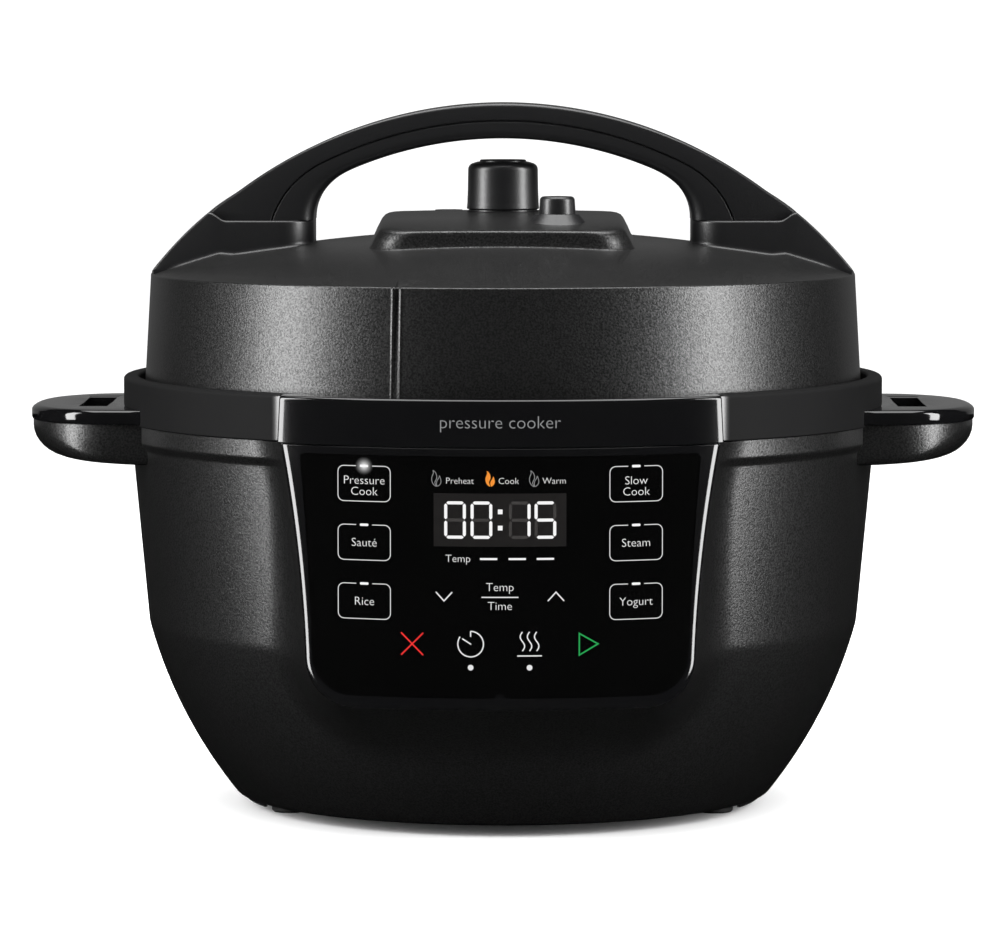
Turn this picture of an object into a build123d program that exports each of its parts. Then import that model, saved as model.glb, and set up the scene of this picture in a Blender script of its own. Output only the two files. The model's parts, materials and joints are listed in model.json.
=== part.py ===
from build123d import *
import math
import os

# Electric pressure cooker. Millimetres, +Z up, front towards -Y.
# The origin is on the ground, on the axis of the pot.

# ---- driving dimensions ----
RING_R = 165.0  # outside of the rim ring
RING_BORE_R = 158.2
RING_LOW = 167.4
RING_TOP = 187.0
BAND_R = 173.0  # front band and panel stand further out than the ring
BAND_HALF_WIDTH = 87.5
TROUGH_LOW = 171.0
TROUGH_TOP = 173.5
TROUGH_BORE_R = 151.2

SHELL_TOP = 167.2
SHOULDER_R = 163.6
SHOULDER_LOW = 153.0
WALL_TOP = (160.4, 146.5)
WALL_BREAK = (154.0, 77.0)
WALL_BELLY = (137.0, 36.2)
WALL_FOOT = (116.2, 5.0)
SHELL_WALL = 2.9

HANDLE_TIP_X = 205.6
HANDLE_ROOT_HALF = 58.0
HANDLE_TIP_HALF = 46.0
HANDLE_CORNER_R = 26.0
HANDLE_TOP = 174.6
HANDLE_SEAM = 168.4
HANDLE_UNDER = 149.0
SLOT_X = (170.5, 182.7)
SLOT_HALF = 30.0

PANEL_TOP = 167.2
PANEL_LOW = 60.6
PANEL_HALF_TOP = 90.0
PANEL_HALF_MID = 84.0
PANEL_HALF_LOW = 80.0
PANEL_CORNER_R = 20.0
PANEL_BACK_R = 167.0
LENS_TOP = 164.0
LENS_LOW = 65.5
LENS_HALF_TOP = 82.0
LENS_HALF_LOW = 77.0
LENS_CORNER_R = 16.0
LENS_FRONT_R = 172.7
LENS_BACK_R = 171.2
PEDESTAL_R = 170.6
PEDESTAL_LIP = 3.5
POCKET = (72.0, 70.0, 160.0)  # half width, low z, high z

LID_LOW = 179.0
LID_LOW_R = 156.0
LID_EDGE_R = 153.8
LID_CREASE_R = 152.0
LID_CREASE_Z = 231.3
LID_RISE = 18.0
LID_WALL = 2.5
MARK_ANGLE = -106.0  # the position mark, 16 degrees left of the front

ARCH_TOP = 304.7
ARCH_R = 190.6
ARCH_END_X = 126.7
SEAM_TOP = 297.5
SEAM_R = 176.3
SEAM_LEG_X = 100.1
GRIP_TOP = 289.5
GRIP_R = 166.0
GRIP_LEG_X = 81.7
LEG_BEND_R = 18.0
LEG_LOW = 254.3
ARCH_WIDTH = 42.0
ROOT_WIDTH = 52.0
ROOT_OUT = (153.0, 231.0)
HANDLE_WALL = 3.0

VENT_HALF_X = 56.0
VENT_FRONT = -73.0
VENT_BACK = 52.0
VENT_CORNER_R = 22.0
VENT_TOP = 258.0
VENT_SAG_AT_70 = 6.0
VENT_WALL = 2.5

KNOB_LOW = 258.6
KNOB_TOP = 280.1
KNOB_R = 15.75
KNOB_DISC_R = 10.25
PIPE_R = 5.0
PIPE_BORE_R = 2.6

BUTTON_XY = (23.5, -47.0)
BUTTON_R = 7.3
BUTTON_LOW = 252.9
BUTTON_TOP = 265.7
BUTTON_STEM_R = 2.5
COLLAR_TOP = 258.0
FLOAT_XY = (-24.0, 28.0)
FLOAT_R = 3.0

POT_R = 131.0
POT_WALL = 1.6
POT_LOW = 42.0
POT_FLOOR = 2.5
POT_BEND_R = 18.0
POT_RIM_R = 137.0
POT_RIM_Z = (171.0, 172.6)

WELL_R = 134.0
WELL_SHEET = 1.2
WELL_FLANGE_R = 150.6
WELL_FLANGE_TOP = 169.2
WELL_FLOOR = 33.0
WELL_SHOULDER_Z = 55.0
WELL_FLOOR_R = 115.0
WELL_HOLE_R = 30.0

LUG_COUNT = 6
LUG_WIDTH_DEG = 24.0
LOCK_WALL_R = (149.0, 150.6)
LOCK_LUG_R = 142.0
LOCK_LUG_Z = (179.5, 182.0)
PLATE_TOP = 214.0
PLATE_FLAT_R = 104.0
PLATE_SEAT_TOP = 184.3
PLATE_RIM_R = 140.2
PLATE_SHEET = 2.0
PLATE_LUG_R = 147.5
PLATE_LUG_Z = (176.0, 178.3)
SCREW_RING_R = 90.0
SCREW_R = 1.6

COVER_LOW = 5.2
COVER_TOP = 7.6
COVER_R = 112.8
FOOT_R = 7.5
FOOT_FRONT = (92.0, -39.0)
FOOT_REAR = (60.0, 80.0)

INLET_Z = 25.0
INLET_FACE = 142.0
INLET_DEEP = 20.0
INLET_MOUTH = (24.0, 16.5)

CUP_BACK = 161.3
CUP_FRONT = 173.0
CUP_HALF = 32.0
CUP_Z = (104.0, 145.5)
CUP_WALL = 1.6
SPOUT_HALF = 5.0
SPOUT_Y = (152.2, 157.2)
SPOUT_Z = (137.0, 143.0)
TONGUE_Z = (118.0, 121.0)
TONGUE_HALF = 15.0


# ---- helpers ----
def block(x, y, z):
    """Box between two limits along each axis."""
    size = [high - low for low, high in (x, y, z)]
    middle = [(low + high) / 2 for low, high in (x, y, z)]
    return Pos(*middle) * Box(*size)


def rod(radius, z_low, z_high, at=(0.0, 0.0)):
    """Upright cylinder."""
    middle = (z_low + z_high) / 2
    return Pos(at[0], at[1], middle) * Cylinder(radius, z_high - z_low)


def tube(r_in, r_out, z_low, z_high, at=(0.0, 0.0)):
    """Upright tube."""
    return rod(r_out, z_low, z_high, at) - rod(r_in, z_low - 1, z_high + 1, at)


def side_face(*lines):
    """Closed face from lines drawn in (x, z), standing on the plane y = 0."""
    return Plane.XZ * make_face(Curve() + list(lines))


def turned(*points, arc=360.0, start=0.0):
    """Solid of revolution of a polygon of (radius, z) points."""
    face = Plane.XZ * make_face(Polyline(*points, close=True))
    return Rot(0, 0, start) * revolve(face, axis=Axis.Z, revolution_arc=arc)


def wedge(r_in, r_out, z_low, z_high, centre_deg, width_deg):
    """Sector of a tube, centred on an angle measured from +X."""
    corners = ((r_in, z_low), (r_out, z_low), (r_out, z_high), (r_in, z_high))
    return turned(*corners, arc=width_deg, start=centre_deg - width_deg / 2)


def drop(radius, distance):
    """How far an arc has fallen at a distance from its top."""
    return radius - math.sqrt(radius * radius - distance * distance)


def rounded_plan(x, y, radius, z_low, z_high):
    """Upright block with round vertical corners."""
    plan = Pos((x[0] + x[1]) / 2, (y[0] + y[1]) / 2, z_low) * RectangleRounded(
        x[1] - x[0], y[1] - y[0], radius
    )
    return extrude(plan, amount=z_high - z_low)


# ---- base ----
def wall_curve(inset):
    """Shell wall from its top to its foot, moved inwards by inset."""
    top, brk, belly, foot = [
        (r - inset, z) for r, z in (WALL_TOP, WALL_BREAK, WALL_BELLY, WALL_FOOT)
    ]
    return [Line(top, brk), ThreePointArc(brk, belly, foot)], top, foot


def shell_round(inset):
    """Everything inside the shell's wall, as one solid of revolution."""
    curve, top, foot = wall_curve(inset)
    shoulder = SHOULDER_R - inset
    face = side_face(
        *curve,
        Line(foot, (0, foot[1])),
        Line((0, foot[1]), (0, SHELL_TOP)),
        Line((0, SHELL_TOP), (shoulder, SHELL_TOP)),
        Line((shoulder, SHELL_TOP), (shoulder, SHOULDER_LOW)),
        Line((shoulder, SHOULDER_LOW), top),
    )
    return revolve(face, axis=Axis.Z)


def panel_outline(half_top, half_mid, half_low, z_top, z_low, corner):
    """Front view of the panel: curved sides, round bottom corners."""
    z_mid = z_top - 0.36 * (z_top - z_low)
    bend_z = z_low + corner
    lines = []
    for side in (1, -1):
        lines.append(
            ThreePointArc(
                (side * half_top, z_top), (side * half_mid, z_mid), (side * half_low, bend_z)
            )
        )
        lines.append(
            RadiusArc(
                (side * half_low, bend_z), (side * (half_low - corner), z_low), side * corner
            )
        )
    lines.append(Line((-half_top, z_top), (half_top, z_top)))
    lines.append(Line((corner - half_low, z_low), (half_low - corner, z_low)))
    return side_face(*lines)


def bezel_outline():
    return panel_outline(
        PANEL_HALF_TOP, PANEL_HALF_MID, PANEL_HALF_LOW, PANEL_TOP, PANEL_LOW, PANEL_CORNER_R
    )


def lens_outline():
    half_mid = (LENS_HALF_TOP + LENS_HALF_LOW) / 2 - 0.6
    return panel_outline(
        LENS_HALF_TOP, half_mid, LENS_HALF_LOW, LENS_TOP, LENS_LOW, LENS_CORNER_R
    )


def forwards(face, near, far):
    """Solid of a front-view face between two distances in front of the axis."""
    solid = extrude(face, amount=far - near, dir=(0, -1, 0))
    return Pos(0, -near, 0) * solid


def pedestal():
    """Raised part of the shell that carries the panel."""
    lip = offset(bezel_outline(), amount=PEDESTAL_LIP)
    flared = offset(bezel_outline(), amount=PEDESTAL_LIP + 11.0)
    solid = loft([Pos(0, -BAND_R, 0) * lip, Pos(0, -138.0, 0) * flared])
    solid &= rod(PEDESTAL_R, PANEL_LOW - 30.0, SHELL_TOP)
    return solid


def outer_shell():
    hollow = shell_round(SHELL_WALL)
    boss = block((-20, 20), (100, INLET_FACE), (8.0, 42.0))
    tongue = block((-TONGUE_HALF, TONGUE_HALF), (153.0, 166.0), TONGUE_Z)
    body = shell_round(0.0) + pedestal() + boss
    body -= hollow
    body += tongue - shell_round(SHELL_WALL)
    half, low, high = POCKET
    body -= block((-half, half), (-BAND_R - 2, -140.0), (low, high))
    body -= forwards(bezel_outline(), PANEL_BACK_R - 30.0, BAND_R + 2) - rod(
        PANEL_BACK_R, 0, 200
    )
    body -= block((-15, 15), (110, INLET_FACE + 1), (INLET_Z - 10.5, INLET_Z + 10.5))
    body -= block((-SPOUT_HALF, SPOUT_HALF), (150, 170), SPOUT_Z)
    return body


def rim_ring():
    """Gloss ring with a condensation trough and the deeper front band."""
    ring = turned(
        (TROUGH_BORE_R, TROUGH_LOW),
        (RING_BORE_R, TROUGH_LOW),
        (RING_BORE_R, RING_LOW),
        (RING_R, RING_LOW),
        (RING_R, RING_TOP - 1.5),
        (RING_R - 1.5, RING_TOP),
        (RING_BORE_R + 1.0, RING_TOP),
        (RING_BORE_R, RING_TOP - 1.0),
        (RING_BORE_R, TROUGH_TOP),
        (TROUGH_BORE_R, TROUGH_TOP),
    )
    half_deg = math.degrees(math.asin(BAND_HALF_WIDTH / BAND_R))
    band = turned(
        (RING_R - 3.0, RING_LOW),
        (BAND_R, RING_LOW),
        (BAND_R, RING_TOP - 1.2),
        (BAND_R - 1.2, RING_TOP),
        (RING_R - 3.0, RING_TOP),
        arc=2 * half_deg,
        start=-90.0 - half_deg,
    )
    drain_y = (SPOUT_Y[0] + SPOUT_Y[1]) / 2
    return ring + band - rod(1.6, TROUGH_LOW - 1, TROUGH_TOP + 1, (0, drain_y))


def handle_plan(side):
    """Plan of a side handle from inside the ring to its round tip."""
    corners = (
        (side * 140.0, -HANDLE_ROOT_HALF - 4.0),
        (side * 168.0, -HANDLE_ROOT_HALF + 2.0),
        (side * HANDLE_TIP_X, -HANDLE_TIP_HALF),
        (side * HANDLE_TIP_X, HANDLE_TIP_HALF),
        (side * 168.0, HANDLE_ROOT_HALF - 2.0),
        (side * 140.0, HANDLE_ROOT_HALF + 4.0),
    )
    plan = make_face(Polyline(*corners, close=True))
    tips = [v for v in plan.vertices() if abs(v.X) > HANDLE_TIP_X - 1]
    return fillet(tips, HANDLE_CORNER_R)


def handle_slot(side):
    low, high = sorted((side * SLOT_X[0], side * SLOT_X[1]))
    return block((low, high), (-SLOT_HALF, SLOT_HALF), (100, 200))


def handle_cap(side):
    cap = Pos(0, 0, HANDLE_SEAM) * extrude(handle_plan(side), amount=HANDLE_TOP - HANDLE_SEAM)
    cap = chamfer(cap.faces().sort_by(Axis.Z)[-1].edges(), 1.2)
    return cap - rod(RING_R, 0, 200) - handle_slot(side)


def handle_grip_half(side):
    """Lower half of a side handle, rounded under its tip."""
    outside = side * (HANDLE_TIP_X + 1.5)
    low = (side * (HANDLE_TIP_X - 22.0), HANDLE_UNDER + 1.0)
    bend = (side * (HANDLE_TIP_X - 5.0), HANDLE_UNDER + 6.0)
    tip = (outside, HANDLE_SEAM - 2.0)
    root = (side * 135.0, HANDLE_UNDER - 2.5)
    below = side_face(
        Line(root, low),
        ThreePointArc(low, bend, tip),
        Line(tip, (outside, 120.0)),
        Line((outside, 120.0), (root[0], 120.0)),
        Line((root[0], 120.0), root),
    )
    plan = handle_plan(side)
    grip = Pos(0, 0, 140.0) * extrude(plan, amount=HANDLE_SEAM - 140.0)
    grip -= extrude(below, amount=HANDLE_ROOT_HALF + 8.0, both=True)
    grip -= shell_round(0.0)
    grip -= rod(RING_R, SHELL_TOP - 0.1, 200)
    return grip - handle_slot(side)


def panel_bezel():
    """Curved frame, with a seat for the lens and a window behind it."""
    frame = forwards(bezel_outline(), 130.0, BAND_R + 2) & tube(
        PANEL_BACK_R, BAND_R, PANEL_LOW - 1, RING_LOW
    )
    seat = forwards(lens_outline(), 130.0, BAND_R + 2) - rod(LENS_BACK_R, 0, 200)
    window = forwards(offset(lens_outline(), amount=-4.0), 130.0, BAND_R + 2)
    return frame - seat - window


def panel_lens():
    return forwards(lens_outline(), 130.0, BAND_R + 2) & tube(
        LENS_BACK_R, LENS_FRONT_R, LENS_LOW - 1, LENS_TOP + 1
    )


def display_module():
    return block((-28.5, 28.5), (-168.5, -150.0), (126.0, 150.0))


def control_board():
    board = block((-68, 68), (-150.0, -148.4), (74.0, 157.0))
    chips = [
        block((x - 8, x + 8), (-148.4, -145.4), (z - 8, z + 8))
        for x, z in ((-40, 100), (0, 92), (38, 104))
    ]
    return board + chips


def inner_housing():
    """Pressed well with a flange that carries the lock ring."""
    out = WELL_R + WELL_SHEET
    under = WELL_FLANGE_TOP - WELL_SHEET
    low = WELL_FLOOR - WELL_SHEET
    return turned(
        (WELL_R, WELL_FLANGE_TOP),
        (WELL_FLANGE_R, WELL_FLANGE_TOP),
        (WELL_FLANGE_R, under),
        (out, under),
        (out, WELL_SHOULDER_Z - 0.5),
        (WELL_FLOOR_R + 0.5, low),
        (WELL_HOLE_R, low),
        (WELL_HOLE_R, WELL_FLOOR),
        (WELL_FLOOR_R, WELL_FLOOR),
        (WELL_R, WELL_SHOULDER_Z),
    )


def lock_ring():
    ring = tube(*LOCK_WALL_R, WELL_FLANGE_TOP, LOCK_LUG_Z[1])
    for i in range(LUG_COUNT):
        angle = i * 360.0 / LUG_COUNT
        ring += wedge(LOCK_LUG_R, LOCK_WALL_R[0] + 0.5, *LOCK_LUG_Z, angle, LUG_WIDTH_DEG)
    return ring


def heater_plate():
    plate = rod(90.0, 36.0, POT_LOW - 0.1) - rod(18.0, 30, 50)
    return plate + tube(62.0, 70.0, 34.4, 36.0)


def heater_posts():
    posts = [
        rod(4.0, WELL_FLOOR, 36.0, (80 * math.cos(a), 80 * math.sin(a)))
        for a in (math.radians(30 + 120 * i) for i in range(3))
    ]
    return Compound(children=posts)


def temperature_sensor():
    return rod(15.0, 38.0, POT_LOW - 0.1) + rod(9.0, 24.0, 38.0)


def power_board():
    board = block((-45, 45), (-50, 20), (12.0, 13.6))
    parts = [
        block((-38, -14), (-42, -18), (13.6, 24.0)),
        block((-4, 14), (-40, -24), (13.6, 26.0)),
        block((20, 40), (-44, -12), (13.6, 21.0)),
    ]
    return board + parts + rod(8.0, 13.6, 23.0, (-24, 4))


def bottom_cover():
    """Floor with board posts, vent slots and two side skirts."""
    cover = rod(COVER_R, COVER_LOW, COVER_TOP)
    cover += [rod(3.0, COVER_TOP, 12.0, (x, y)) for x in (-40, 40) for y in (-45, 15)]
    for i in range(8):
        slot = block((58, 80), (-1.6, 1.6), (COVER_LOW - 1, COVER_TOP + 1))
        cover -= Rot(0, 0, 22.5 + 45 * i) * slot
    for angle in (0.0, 180.0):
        cover += wedge(COVER_R - 1.3, COVER_R, 3.0, COVER_TOP, angle, 50.0)
    return cover


def foot(x, y):
    pad = rod(FOOT_R, 0.0, COVER_LOW, (x, y))
    return chamfer(pad.faces().sort_by(Axis.Z)[0].edges(), 0.8)


def bottom_screws():
    spots = [(86 * math.cos(a), 86 * math.sin(a)) for a in map(math.radians, (60, 120, 240, 300))]
    return Compound(children=[rod(3.5, COVER_LOW - 1.4, COVER_LOW, spot) for spot in spots])


def power_inlet():
    """Three-pin appliance inlet; the socket opens to the rear."""
    half_x, half_z = INLET_MOUTH[0] / 2, INLET_MOUTH[1] / 2
    mouth = INLET_FACE + 2.0
    body = block((-15, 15), (119.0, INLET_FACE), (INLET_Z - 10.5, INLET_Z + 10.5))
    body += block((-19, 19), (INLET_FACE, mouth), (INLET_Z - 14, INLET_Z + 14))
    socket = block(
        (-half_x, half_x), (mouth - INLET_DEEP, mouth + 1), (INLET_Z - half_z, INLET_Z + half_z)
    )
    return body - socket


def inlet_pins():
    floor_y = INLET_FACE + 2.0 - INLET_DEEP
    pins = [
        block((x - 1, x + 1), (floor_y, floor_y + 14.0), (z - 2, z + 2))
        for x, z in ((-7, INLET_Z - 2), (0, INLET_Z + 2), (7, INLET_Z - 2))
    ]
    return Compound(children=pins)


def drain_spout():
    half = SPOUT_HALF
    spout = block((-half, half), SPOUT_Y, (SPOUT_Z[0], TROUGH_LOW))
    spout += block((-half, half), (SPOUT_Y[0], CUP_BACK + 2.5), SPOUT_Z)
    drain_y = (SPOUT_Y[0] + SPOUT_Y[1]) / 2
    spout -= rod(1.6, SPOUT_Z[0] + 1.5, TROUGH_LOW + 1, (0, drain_y))
    run = Rot(-90, 0, 0) * Cylinder(1.6, CUP_BACK + 3.5 - drain_y)
    return spout - Pos(0, (drain_y + CUP_BACK + 3.5) / 2, SPOUT_Z[0] + 3.0) * run


def collector_cup():
    """Slim cup that slides back off a tongue on the shell."""
    cup = block((-CUP_HALF, CUP_HALF), (CUP_BACK, CUP_FRONT), CUP_Z)
    cup = fillet(cup.edges().filter_by(Axis.Z).sort_by(Axis.Y)[-2:], 5.0)
    cup -= block(
        (CUP_WALL - CUP_HALF, CUP_HALF - CUP_WALL),
        (CUP_BACK + CUP_WALL, CUP_FRONT - CUP_WALL),
        (CUP_Z[0] + CUP_WALL, CUP_Z[1] + 1),
    )
    gap = 0.4
    back = (CUP_BACK - 1, CUP_BACK + CUP_WALL + 1)
    cup -= block(
        (-SPOUT_HALF - gap, SPOUT_HALF + gap), back, (SPOUT_Z[0] - gap, CUP_Z[1] + 1)
    )
    return cup - block(
        (-TONGUE_HALF - gap, TONGUE_HALF + gap), back, (TONGUE_Z[0] - gap, TONGUE_Z[1] + gap)
    )


# ---- pot ----
def pot_round(inset, low):
    """Everything inside the pot's wall, down to a floor height."""
    radius = POT_R - inset
    bend = POT_BEND_R - inset
    middle = (radius - bend * (1 - math.sqrt(0.5)), low + bend * (1 - math.sqrt(0.5)))
    face = side_face(
        Line((0, low), (radius - bend, low)),
        ThreePointArc((radius - bend, low), middle, (radius, low + bend)),
        Line((radius, low + bend), (radius, POT_RIM_Z[1])),
        Line((radius, POT_RIM_Z[1]), (0, POT_RIM_Z[1])),
        Line((0, POT_RIM_Z[1]), (0, low)),
    )
    return revolve(face, axis=Axis.Z)


def inner_pot():
    rim = rod(POT_RIM_R, *POT_RIM_Z)
    return pot_round(0.0, POT_LOW) + rim - pot_round(POT_WALL, POT_LOW + POT_FLOOR)


# ---- lid ----
def dome_z(radius):
    return LID_CREASE_Z + LID_RISE * (1 - (radius / LID_CREASE_R) ** 2)


def dome_round(inset, low):
    """Everything under the lid's surface, moved inwards by inset."""
    skirt_low = (LID_LOW_R - inset, low)
    edge = (LID_EDGE_R - inset, LID_CREASE_Z - 2.3)
    crease = (LID_CREASE_R - inset, LID_CREASE_Z - inset)
    middle = LID_CREASE_R / 2
    face = side_face(
        Line((0, low), skirt_low),
        Line(skirt_low, edge),
        Line(edge, crease),
        ThreePointArc(crease, (middle, dome_z(middle) - inset), (0, dome_z(0) - inset)),
        Line((0, dome_z(0) - inset), (0, low)),
    )
    return revolve(face, axis=Axis.Z)


def screw_spots():
    angles = [math.radians(45 + 90 * i) for i in range(4)]
    return [(SCREW_RING_R * math.cos(a), SCREW_RING_R * math.sin(a)) for a in angles]


def lid_cover():
    inside = dome_round(LID_WALL, LID_LOW - 1)
    bosses = [rod(6.0, PLATE_TOP, dome_z(0), spot) for spot in screw_spots()]
    cover = dome_round(0.0, LID_LOW) - inside + [boss & inside for boss in bosses]
    cover -= [rod(SCREW_R + 0.05, 200, PLATE_TOP + 9.0, spot) for spot in screw_spots()]
    cover -= rod(PIPE_R + 1.0, 200, 270)
    cover -= rod(BUTTON_STEM_R + 0.4, 200, 270, BUTTON_XY)
    cover -= rod(FLOAT_R + 0.4, 200, 270, FLOAT_XY)
    mark = block((LID_EDGE_R - 0.2, LID_LOW_R + 1), (-0.65, 0.65), (RING_TOP, LID_CREASE_Z - 2))
    return cover - Rot(0, 0, MARK_ANGLE) * mark


def lid_plate():
    """Pressed plate: raised middle, seat for the ring, rim with lugs."""
    sheet = PLATE_SHEET
    seat_low = PLATE_SEAT_TOP - sheet
    plate = turned(
        (0, PLATE_TOP),
        (PLATE_FLAT_R, PLATE_TOP),
        (123.0, PLATE_SEAT_TOP),
        (PLATE_RIM_R, PLATE_SEAT_TOP),
        (PLATE_RIM_R, PLATE_LUG_Z[0]),
        (PLATE_RIM_R - sheet, PLATE_LUG_Z[0]),
        (PLATE_RIM_R - sheet, seat_low),
        (121.8, seat_low),
        (PLATE_FLAT_R - 1.2, PLATE_TOP - sheet),
        (0, PLATE_TOP - sheet),
    )
    for i in range(LUG_COUNT):
        angle = i * 360.0 / LUG_COUNT
        plate += wedge(PLATE_RIM_R - 0.5, PLATE_LUG_R, *PLATE_LUG_Z, angle, LUG_WIDTH_DEG)
    plate -= rod(PIPE_R + 0.05, 200, 230)
    plate -= rod(FLOAT_R + 0.4, 200, 230, FLOAT_XY)
    return plate - [rod(SCREW_R + 0.05, 200, 230, spot) for spot in screw_spots()]


def lid_screws():
    low = PLATE_TOP - PLATE_SHEET
    screws = [
        rod(3.4, low - 1.8, low, spot) + rod(SCREW_R, low - 0.5, PLATE_TOP + 8.0, spot)
        for spot in screw_spots()
    ]
    return Compound(children=screws)


def ring_rack():
    """Wire hoop inside the sealing ring, on three arms from the lid plate."""
    hoop = Pos(0, 0, 177.4) * Torus(130.0, 1.4)
    for i in range(3):
        arm = block((120.5, 130.0), (-4, 4), (176.6, 178.2))
        arm += block((120.5, 122.3), (-4, 4), (176.6, PLATE_SEAT_TOP - 0.5))
        hoop += Rot(0, 0, 30 + 120 * i) * arm
    return hoop - lid_plate()


def sealing_ring():
    """Silicone channel, open inwards."""
    return turned(
        (136.5, 173.0),
        (136.5, 181.9),
        (127.5, 181.9),
        (127.5, 179.6),
        (133.5, 179.6),
        (133.5, 175.2),
        (128.5, 175.2),
        (128.5, 173.0),
    )


def arch_side(top_z, radius, leg_x, bend, low_z):
    """Right half of an arch: an arc from the top, a bend, then a leg."""
    turn_x = leg_x - bend * 0.62
    turn_z = top_z - drop(radius, turn_x)
    slope = math.atan2(turn_x, math.sqrt(radius**2 - turn_x**2))
    leg_z = turn_z - bend * 1.25
    return [
        RadiusArc((0, top_z), (turn_x, turn_z), radius),
        TangentArc((turn_x, turn_z), (leg_x, leg_z), tangent=(math.cos(slope), -math.sin(slope))),
        Line((leg_x, leg_z), (leg_x, low_z)),
    ], (leg_x, low_z)


def arch_face(top_z, radius, leg_x, bend):
    """Everything under an arch, down to the top of the root blocks."""
    half, corner = arch_side(top_z, radius, leg_x, bend, LEG_LOW)
    face = side_face(*half, Line(corner, (0, LEG_LOW)), Line((0, LEG_LOW), (0, top_z)))
    return face + mirror(face, about=Plane.YZ)


def arch_outer():
    """Everything under the handle's outer surface."""
    end = (ARCH_END_X, ARCH_TOP - drop(ARCH_R, ARCH_END_X))
    half = side_face(
        RadiusArc((0, ARCH_TOP), end, ARCH_R),
        Line(end, (end[0] - 4.5, LEG_LOW)),
        Line((end[0] - 4.5, LEG_LOW), (0, LEG_LOW)),
        Line((0, LEG_LOW), (0, ARCH_TOP)),
    )
    return half + mirror(half, about=Plane.YZ)


def across(face, width):
    return extrude(face, amount=width / 2, both=True)


def under_seam():
    return across(arch_face(SEAM_TOP, SEAM_R, SEAM_LEG_X, LEG_BEND_R), ARCH_WIDTH + 4)


def under_grip():
    return across(arch_face(GRIP_TOP, GRIP_R, GRIP_LEG_X, LEG_BEND_R), ARCH_WIDTH + 8)


def handle_hollow():
    """Space inside the two halves of the handle."""
    wall = HANDLE_WALL
    whole = arch_outer() - arch_face(GRIP_TOP, GRIP_R, GRIP_LEG_X, LEG_BEND_R)
    return across(offset(whole, amount=-wall), ARCH_WIDTH - 2 * wall)


def handle_shell():
    shell = across(arch_outer(), ARCH_WIDTH)
    return shell - under_seam() - handle_hollow()


def handle_grip():
    grip = under_seam() & across(arch_outer(), ARCH_WIDTH)
    return grip - under_grip() - handle_hollow()


def handle_root(side):
    """Block between the handle and the dome, hollow from below."""
    outer_top = (side * ARCH_END_X, ARCH_TOP - drop(ARCH_R, ARCH_END_X))
    seam_end = (side * (ARCH_END_X - 4.5), LEG_LOW)
    inner = side * GRIP_LEG_X
    face = side_face(
        Polyline(
            (inner, LEG_LOW),
            seam_end,
            outer_top,
            (side * ROOT_OUT[0], ROOT_OUT[1]),
            (side * ROOT_OUT[0], 220.0),
            (inner, 220.0),
            (inner, LEG_LOW),
        )
    )
    root = across(face, ROOT_WIDTH)
    low, high = sorted((inner, side * (ROOT_OUT[0] + 1)))
    plan = rounded_plan((low, high), (-ROOT_WIDTH / 2, ROOT_WIDTH / 2), 14.0, 200, 280)
    inset = 3.0
    core = across(offset(face, amount=-inset), ROOT_WIDTH - 2 * inset) & plan
    return (root & plan) - core - dome_round(0.0, 200.0)


def vent_round(top, inset):
    """Plateau on the dome with a gently domed top."""
    plan = rounded_plan(
        (inset - VENT_HALF_X, VENT_HALF_X - inset),
        (VENT_FRONT + inset, VENT_BACK - inset),
        VENT_CORNER_R - inset,
        200,
        300,
    )
    radius = (70.0**2 + VENT_SAG_AT_70**2) / (2 * VENT_SAG_AT_70)
    return plan & (Pos(0, 0, top - radius) * Sphere(radius))


def vent_housing():
    body = vent_round(VENT_TOP, 0.0)
    body = chamfer(body.faces().sort_by(Axis.Z)[-1].edges(), 2.0)
    body -= vent_round(VENT_TOP - VENT_WALL, VENT_WALL)
    body -= dome_round(0.0, 200.0)
    body -= rod(PIPE_R + 1.0, 200, 270)
    body -= rod(BUTTON_R + 0.5, 200, 270, BUTTON_XY)
    return body - rod(FLOAT_R + 0.4, 200, 270, FLOAT_XY)


def button_collar():
    """Conical boss that the release button moves in."""
    cone = Pos(*BUTTON_XY, COLLAR_TOP - 5.0) * Cone(13.0, 9.0, 10.0)
    cone &= rod(14.0, 240, COLLAR_TOP, BUTTON_XY)
    cone -= vent_round(VENT_TOP, 0.0)
    return cone - rod(BUTTON_R + 0.5, 200, 270, BUTTON_XY)


def release_button():
    button = rod(BUTTON_R, BUTTON_LOW, BUTTON_TOP, BUTTON_XY)
    button = fillet(button.faces().sort_by(Axis.Z)[-1].edges(), 2.6)
    return button + rod(BUTTON_STEM_R, 236.0, BUTTON_LOW + 0.5, BUTTON_XY)


def steam_pipe():
    low = PLATE_TOP - PLATE_SHEET
    pipe = rod(PIPE_R, 206.0, 268.0) + rod(8.0, low - 2.5, low)
    return pipe - rod(PIPE_BORE_R, 200, 270)


def anti_block_shield():
    """Small slotted cup over the steam pipe's inlet."""
    low = PLATE_TOP - PLATE_SHEET
    cup = rod(14.0, 201.0, low) - rod(12.8, 202.2, low + 1)
    for i in range(6):
        slot = block((10, 16), (-2, 2), (203.5, 209.0))
        cup -= Rot(0, 0, 60 * i) * slot
    return cup


def steam_knob():
    """Weighted knob that sits loosely over the steam pipe."""
    knob = turned(
        (0, KNOB_TOP),
        (KNOB_DISC_R, KNOB_TOP),
        (KNOB_DISC_R + 0.4, KNOB_TOP - 0.8),
        (KNOB_R - 1.6, KNOB_TOP - 3.4),
        (KNOB_R - 1.0, KNOB_LOW + 4.0),
        (KNOB_R, KNOB_LOW),
        (10.0, KNOB_LOW),
        (10.0, 269.0),
        (0, 269.0),
    )
    return knob


def knob_weight():
    return tube(PIPE_R + 0.35, 10.0, KNOB_LOW + 0.8, 268.6)


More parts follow.
